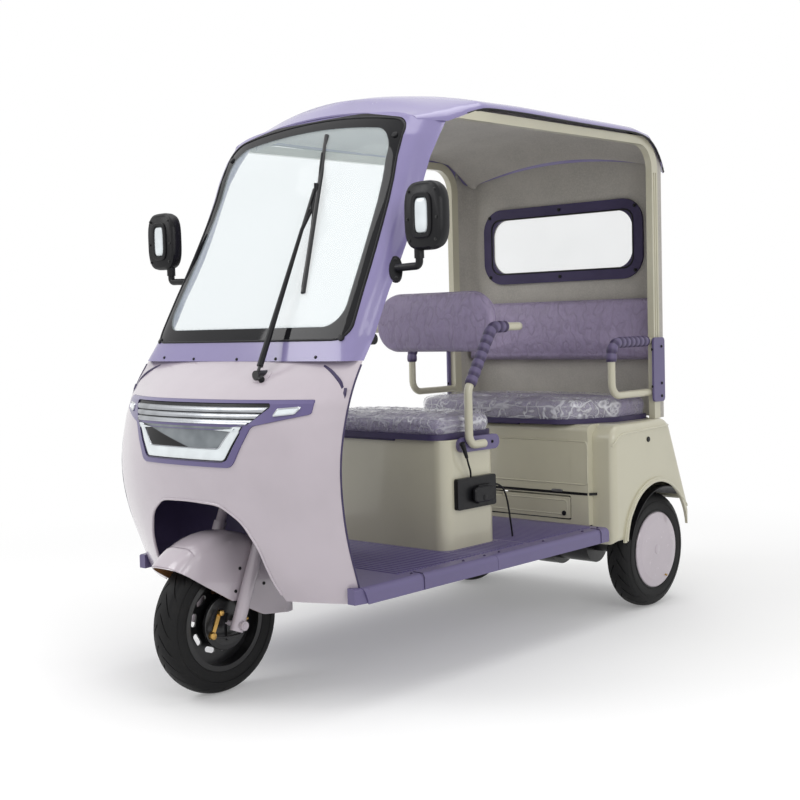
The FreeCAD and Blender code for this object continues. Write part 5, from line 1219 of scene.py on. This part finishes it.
glass_skin = Skin("windscreen")
half_edge = [(x, 992.5) for x in range(0, 373, 31)] + [(387, 996), (399, 1005), (406, 1018)]
half_edge += [(408.5 - 35 * (height - 1034) / 540, height) for height in range(1034, 1575, 45)]
half_edge += [(369, 1594), (357, 1607), (343, 1615)] + [(x, 1649 - 0.00027 * x * x) for x in range(325, -1, -25)]
edge_places = half_edge + [(-x, z) for x, z in half_edge[::-1][1:-1]]
line = evened([glass_skin.front(x, z)[0] for x, z in edge_places], 14, closed=True)
gasket = [place for place, before, after in zip(line, line[-1:] + line, line[1:] + line[:1])
          if (place - (before + after) / 2).length < 0.03]
piece("glass_gasket", hoop(gasket, 3.4), "black_plastic", sharp=60.0)


def opening(centre, start, stop, count, first, last, hit_of):
    """The edge of an opening, found outwards from a place inside it."""
    edge = []
    for k in range(count + 1):
        turn = math.radians(start) + (math.radians(stop) - math.radians(start)) * k / count
        reach = first
        while reach < last:
            hit = hit_of(centre[0] + math.cos(turn) * reach, centre[1] + math.sin(turn) * reach)
            if hit is not None:
                edge.append(hit)
                break
            reach += 1.5
    return calmed(edge, 2)


def front_hit(x, z):
    """The nose's front at a place, or nothing where it is open."""
    return fairing_skin.tree.ray_cast(at(x, AHEAD, z), ALONG, 0.76)[0]


lip = opening((0, 400), -20, 200, 90, 20, 330, front_hit)
piece("nose_arch_lip", swept(evened(lip, 8), 4.2, 12), "lilac_paint", sharp=60.0)

# Glass caps, mirrors and their plates

caps = []
for across, height in ((351, 1567), (-351, 1567), (391, 997), (-391, 997)):
    hit, out = glass_skin.front(across, height)
    level = UP.cross(out).normalized()
    caps.append(badge(hit, level, out.cross(level), dome(9.5, 5)))
piece("glass_caps", joined(*caps), "black_plastic")

HEAD = (563, 282, 1318)
head_screws, mirror_forms = [], []
surround = Skin("windscreen_surround")
for side, word in SIDE_WORDS:
    face = at(side * HEAD[0], *HEAD[1:])
    head = [(57, 80, -42), (65, 88, -38), (68, 91.5, -28), (68, 92, -14), (66, 90, -5), (60, 84, 0.0)]
    mirror_forms.append(badge(face, ACROSS, UP, head, 3.3, 88))
    near = [vertex.co for vertex in bpy.data.objects["mirrors"].data.vertices if 0 < vertex.co.x * side < 0.452]
    foot = sum(near, Vector()) / len(near)
    plate_place, out, _, _ = surround.tree.find_nearest(foot)
    if out.x * side < 0.3:
        out = Vector((side, -0.45, 0.12)).normalized()
    elbow = [at(side * 534, 302, 1240), at(side * 534, 302, 1186), foot + Vector((side * 4 * MM, 0, 0))]
    mirror_forms.append(swept(bend(elbow, [13], 6), 10.5, 18))
    mirror_forms.append(swept([at(side * 534, 302, 1236), at(side * 534, 302, 1206)], 13.5, 18))
    rim = [(36, 61, -1.5), (36, 61, 4.5), (33, 58, 7.0), (25.5, 50.5, 7.0), (23.5, 48.5, 4.0), (22, 47, 1.0)]
    piece(f"{word}_mirror_rim", badge(face, ACROSS, UP, rim, 4.0, 72), "black_plastic", sharp=35.0)
    lens = [(22, 46, -1.0), (22, 46, 3.0), (19, 43, 5.2), (10, 32, 5.8)]
    piece(f"{word}_mirror_lamp", badge(face, ACROSS, UP, lens, 4.5, 64), "light_bar", sharp=60.0)
    back = [(52, 76, -1.5), (52, 76, 0.8), (50, 74, 1.2)]
    piece(f"{word}_mirror_glass", badge(face + ALONG * (41.5 * MM), -ACROSS, UP, back, 3.6, 72), "mirror_glass",
          sharp=35.0)
    head_screws += [(face + Vector((a, 0, b)) * MM, -ALONG)
                    for a, b in ((-46, 66), (46, 66), (-51, -8), (51, -8), (-46, -66), (46, -66))]
    level = UP.cross(out).normalized()
    stand = out.cross(level)
    oval = [(19, 39, -7.0), (19, 39, 3.0), (17, 37, 5.0), (9, 22, 5.4)]
    mirror_forms.append(badge(plate_place, level, stand, oval, 2.3, 56))
    head_screws += [(plate_place + stand * (k * 28 * MM) + out * (4.6 * MM), out) for k in (-1, 1)]
piece("mirror_heads", joined(*mirror_forms), "black_plastic", "cabin", ["mirrors"], sharp=38.0)
screws("mirror_screws", head_screws, 4.4, "black_paint")

# Brake lever and mudguard

bar = evened([at(66, -43, 246), at(72, -62, 214), at(76, -80, 183)], 6)
wide, thick = Vector((0, 9, 5)) * MM, ACROSS * (2.6 * MM)
gold_parts = [loft([[place + wide + thick, place + wide - thick, place - wide - thick, place - wide + thick]
                    for place in bar])]
for spot, radius, height in ((at(68, -43, 244), 9, 12), (at(72, -78, 186), 11, 13), (at(66, 33, 211), 8, 20)):
    gold_parts.append(badge(spot, ALONG, UP, dome(radius, height), count=18))
gold_parts.append(swept([at(64, 10, 208), at(70, 33, 211), at(76, 52, 212)], 4.5, 14))
piece("brake_lever", joined(*gold_parts), "gold", "steering", sharp=35.0)
rod = swept(bend([at(74, -78, 184), at(74, -30, 172), at(72, 21, 170), at(66, 45, 180)], [40, 30]), 3.6, 12)
piece("brake_rod", rod, "black_paint", "steering")
guard_skin = Skin("front_mudguard")
bolts = [guard_skin.meet(at(side * 200, *spot), ACROSS * -side) for side in SIDES
         for spot in ((30, 357), (12, 295), (118, 300))]
screws("mudguard_bolts", bolts, 5.0, "black_plastic", "steering")


def guard_cap():
    """The raised end over the front of the mudguard."""
    hub = at(0, 0, WHEEL_RADIUS / MM)

    def over(angle, across, reach, depth):
        """Where a line towards the hub meets the mudguard, and the direction away from the hub."""
        out = Vector((0, math.cos(angle), math.sin(angle)))
        return guard_skin.tree.ray_cast(hub + ACROSS * (across * MM) + out * reach, -out, depth)[0], out

    start = next(angle for angle in (math.pi + 0.5 - 0.01 * k for k in range(200)) if over(angle, 0, 0.34, 0.12)[0])
    top, low = [], []
    for i in range(25):
        row, under = [], []
        for j in range(25):
            share = 2 * j / 24 - 1
            long = 0.30 * (1 - 0.10 * abs(share) ** 6)
            across = share * 62
            hit, out = over(start - 0.012 - long * i / 24, across, 0.36, 0.2)
            if hit is None:
                hit = hub + ACROSS * (across * MM) + out * 0.25
            lift = 2.2 * min(1.0, (24 - i) / 2.0, (1 - abs(share)) * 12)
            row.append(hit + out * ((0.2 + lift) * MM))
            under.append(hit - out * MM)
        top.append(row)
        low.append(under)
    piece("mudguard_cap", shell(top, low), "lilac_paint", "steering", sharp=45.0)


guard_cap()

# Floor ribs and sill

top_of_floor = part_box("floor_panels")[1].z / MM
ribs("front_floor_ribs", at(0, 306, top_of_floor), 17, 425)
for side, word in SIDE_WORDS:
    ribs(f"{word}_floor_ribs", at(side * 376, 650, top_of_floor), 13, 47)
ribs("rear_floor_ribs", at(0, 922, top_of_floor), 18, 425)
spots = [(at(side * 452, along, top_of_floor), UP) for side in SIDES
         for along in (330, 560, 660, 730, 960, 1180, 1270)]
screws("floor_screws", spots, 4.5, "dark_purple")
seam = ((481, 291), (481, 325), (474, 335.4), (440, 335.6))
seams = [swept([at(side * x, along, z) for x, z in seam], 1.3, 8) for side in SIDES for along in (352, 1248)]


def sill_end(side):
    """The block that closes the gap between the nose's low corner and the floor's edge."""
    return loft([[at(side * x, along, z)
                  for x, z in ((low, 291), (high, 291), (high, 329), (high - 7, 334), (low, 334))]
                 for along, low, high in ((86, 440, 467), (104, 442, 471), (134, 446, 477))])


piece("sill_ends", joined(*map(sill_end, SIDES)), "purple_paint")
piece("sill_seams", joined(*seams), "dark_purple")

# Seat box, bench and body

body_skin = Skin("rear_body", "storage_flap", "rear_wall")
box_skin = Skin("seat_box", "charging_panel", "seat_brackets", "armrest_plates")

bench = rounded_outline([(-400, 470), (400, 470), (400, 622), (-400, 622)], (16,) * 4)
piece("bench_moulding", ring_strip(body_skin, bench, 5.0, soft_edged(2.0)), "cream_paint", sharp=50.0)
gap_line = [body_skin.front(x, 441, IN_CABIN)[0] for x in range(-418, 419, 22)]
grids = [[[place + UP * (rise * MM) - ALONG * (lift * MM) for place in gap_line] for rise in (-4.5, 4.5)]
         for lift in (1.0, -1.0)]
piece("bench_gap", shell(*grids), "black_plastic")
pull, _ = body_skin.front(274, 447, IN_CABIN)
piece("flap_pull", badge(pull, ACROSS, UP, [(22, 5, -1), (22, 5, 5), (19, 3.5, 6.5)], 4.0), "steel")
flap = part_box("storage_flap")
lock = at(300, (flap[0].y - AXLE) / MM, 370)
piece("flap_lock", badge(lock, ACROSS, UP, dome(8.5, 3.5)), "black_plastic", "storage_flap")
flap_line = rounded_outline([(-314, 364), (314, 364), (314, 416), (-314, 416)], (8,) * 4)
piece("flap_moulding", ring_strip(Skin("storage_flap"), flap_line, 4.0, soft_edged(1.2)), "cream_paint",
      "storage_flap", sharp=50.0)
for side, word in SIDE_WORDS:
    spot, out = body_skin.side(side, 1546, 611)
    level = UP.cross(out).normalized()
    piece(f"{word}_fender_lock", badge(spot, level, out.cross(level), dome(9.5, 4)), "black_plastic")

for side, word in SIDE_WORDS:
    def side_hit(along, height, side=side):
        """The body's side at a place, or nothing where it is open."""
        return body_skin.tree.ray_cast(at(side * BESIDE, along, height), ACROSS * -side, 0.28)[0]

    lip = opening((1660, WHEEL_RADIUS / MM), 8, 165, 80, 208, 330, side_hit)
    bead = bend([at(side * 491, *spot) for spot in ((1322, 300), (1322, 640), (1760, 652))], [70], 10)
    bead = [side_hit((place.y - AXLE) / MM, place.z / MM) for place in evened(bead, 14)]
    forms = [swept(evened(line, 8), radius, 12)
             for line, radius in ((lip, 5.0), ([place for place in bead if place], 4.0))]
    piece(f"{word}_body_beads", joined(*forms), "cream_paint", sharp=60.0)

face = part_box("charging_panel")[1].x / MM
cover = badge(at(face, 800, 497), ALONG, UP, [(48, 24, -2), (48, 24, 6), (45, 21, 9), (30, 12, 9.4)], 5.0, 56)
tab = badge(at(face + 8.5, 800, 486), ALONG, UP, [(9, 9, -1), (9, 9, 2.0), (7, 7, 3.0)], 2.6, 32)
piece("charging_cover", joined(cover, tab), "black_plastic", sharp=35.0)
spots = []
for side in SIDES:
    spots += [box_skin.side(side, *spot) for spot in ((867, 655), (1665, 755), (1665, 800), (1665, 930))]
    spots += [box_skin.front(side * 460, height, 1500) for height in (790, 920)]
screws("bracket_bolts", spots, 5.2, "black_plastic")

# Rear window

y_frame = (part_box("rear_window_frame")[0].y - AXLE) / MM
spots = ((-331, 1206), (-331, 1440), (331, 1206), (331, 1440), (0, 1197), (0, 1449))
spots = [(at(across, y_frame, height), -ALONG) for across, height in spots]
screws("window_screws", spots, 7.0, "black_plastic")
outline = rounded_outline([(-322, 1217), (322, 1217), (322, 1429), (-322, 1429)], (38,) * 4, 8)
seal = evened([at(x, y_frame, z) for x, z in outline], 8, closed=True)
piece("window_seal", hoop(seal, 3.2), "black_plastic")

# Roof seals and wheel caps

roof_skin = Skin("roof")
for side, word in SIDE_WORDS:
    places = []
    for along in range(620, 1800, 20):
        found = [spot for spot in roof_skin.slice(1, AXLE + along * MM) if spot.x * side > 0]
        if found:
            places.append(min(found, key=lambda spot: spot.z - 0.4 * spot.x * side))
    piece(f"{word}_roof_seal", swept(evened(calmed(places, 4), 14), 3.2, 10), "black_plastic")

for side, word in SIDE_WORDS:
    cap = f"wheel_cap_{word}"
    low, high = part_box(cap)
    hub = (low + high) / 2
    face = Vector((high.x if side > 0 else low.x, hub.y, hub.z))
    disc = badge(face, ALONG * side, UP, [(17, 17, -1), (17, 17, 0.8), (15.5, 15.5, 1.4)], 2.0, 36)
    valve = swept([face + Vector((side * -4, 52, -98)) * MM, face + Vector((side * 7, 54, -101)) * MM], 3.4, 12)
    piece(f"{word}_cap_centre", disc, "lilac_paint", BODY_OF[cap])
    piece(f"{word}_valve", valve, "gold", BODY_OF[cap])

# Handlebar grips

bar_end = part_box("handlebar")[1].x / MM
for side, word in SIDE_WORDS:
    path = evened([at(side * (bar_end - inset), 366, 990) for inset in (112, 2)], 3)
    bar_grip = swept(path, lambda run: 15.0 + 1.4 * abs(math.sin(run * math.pi / 7)), 20)
    piece(f"{word}_bar_grip", bar_grip, "black_plastic", "steering", sharp=50.0)
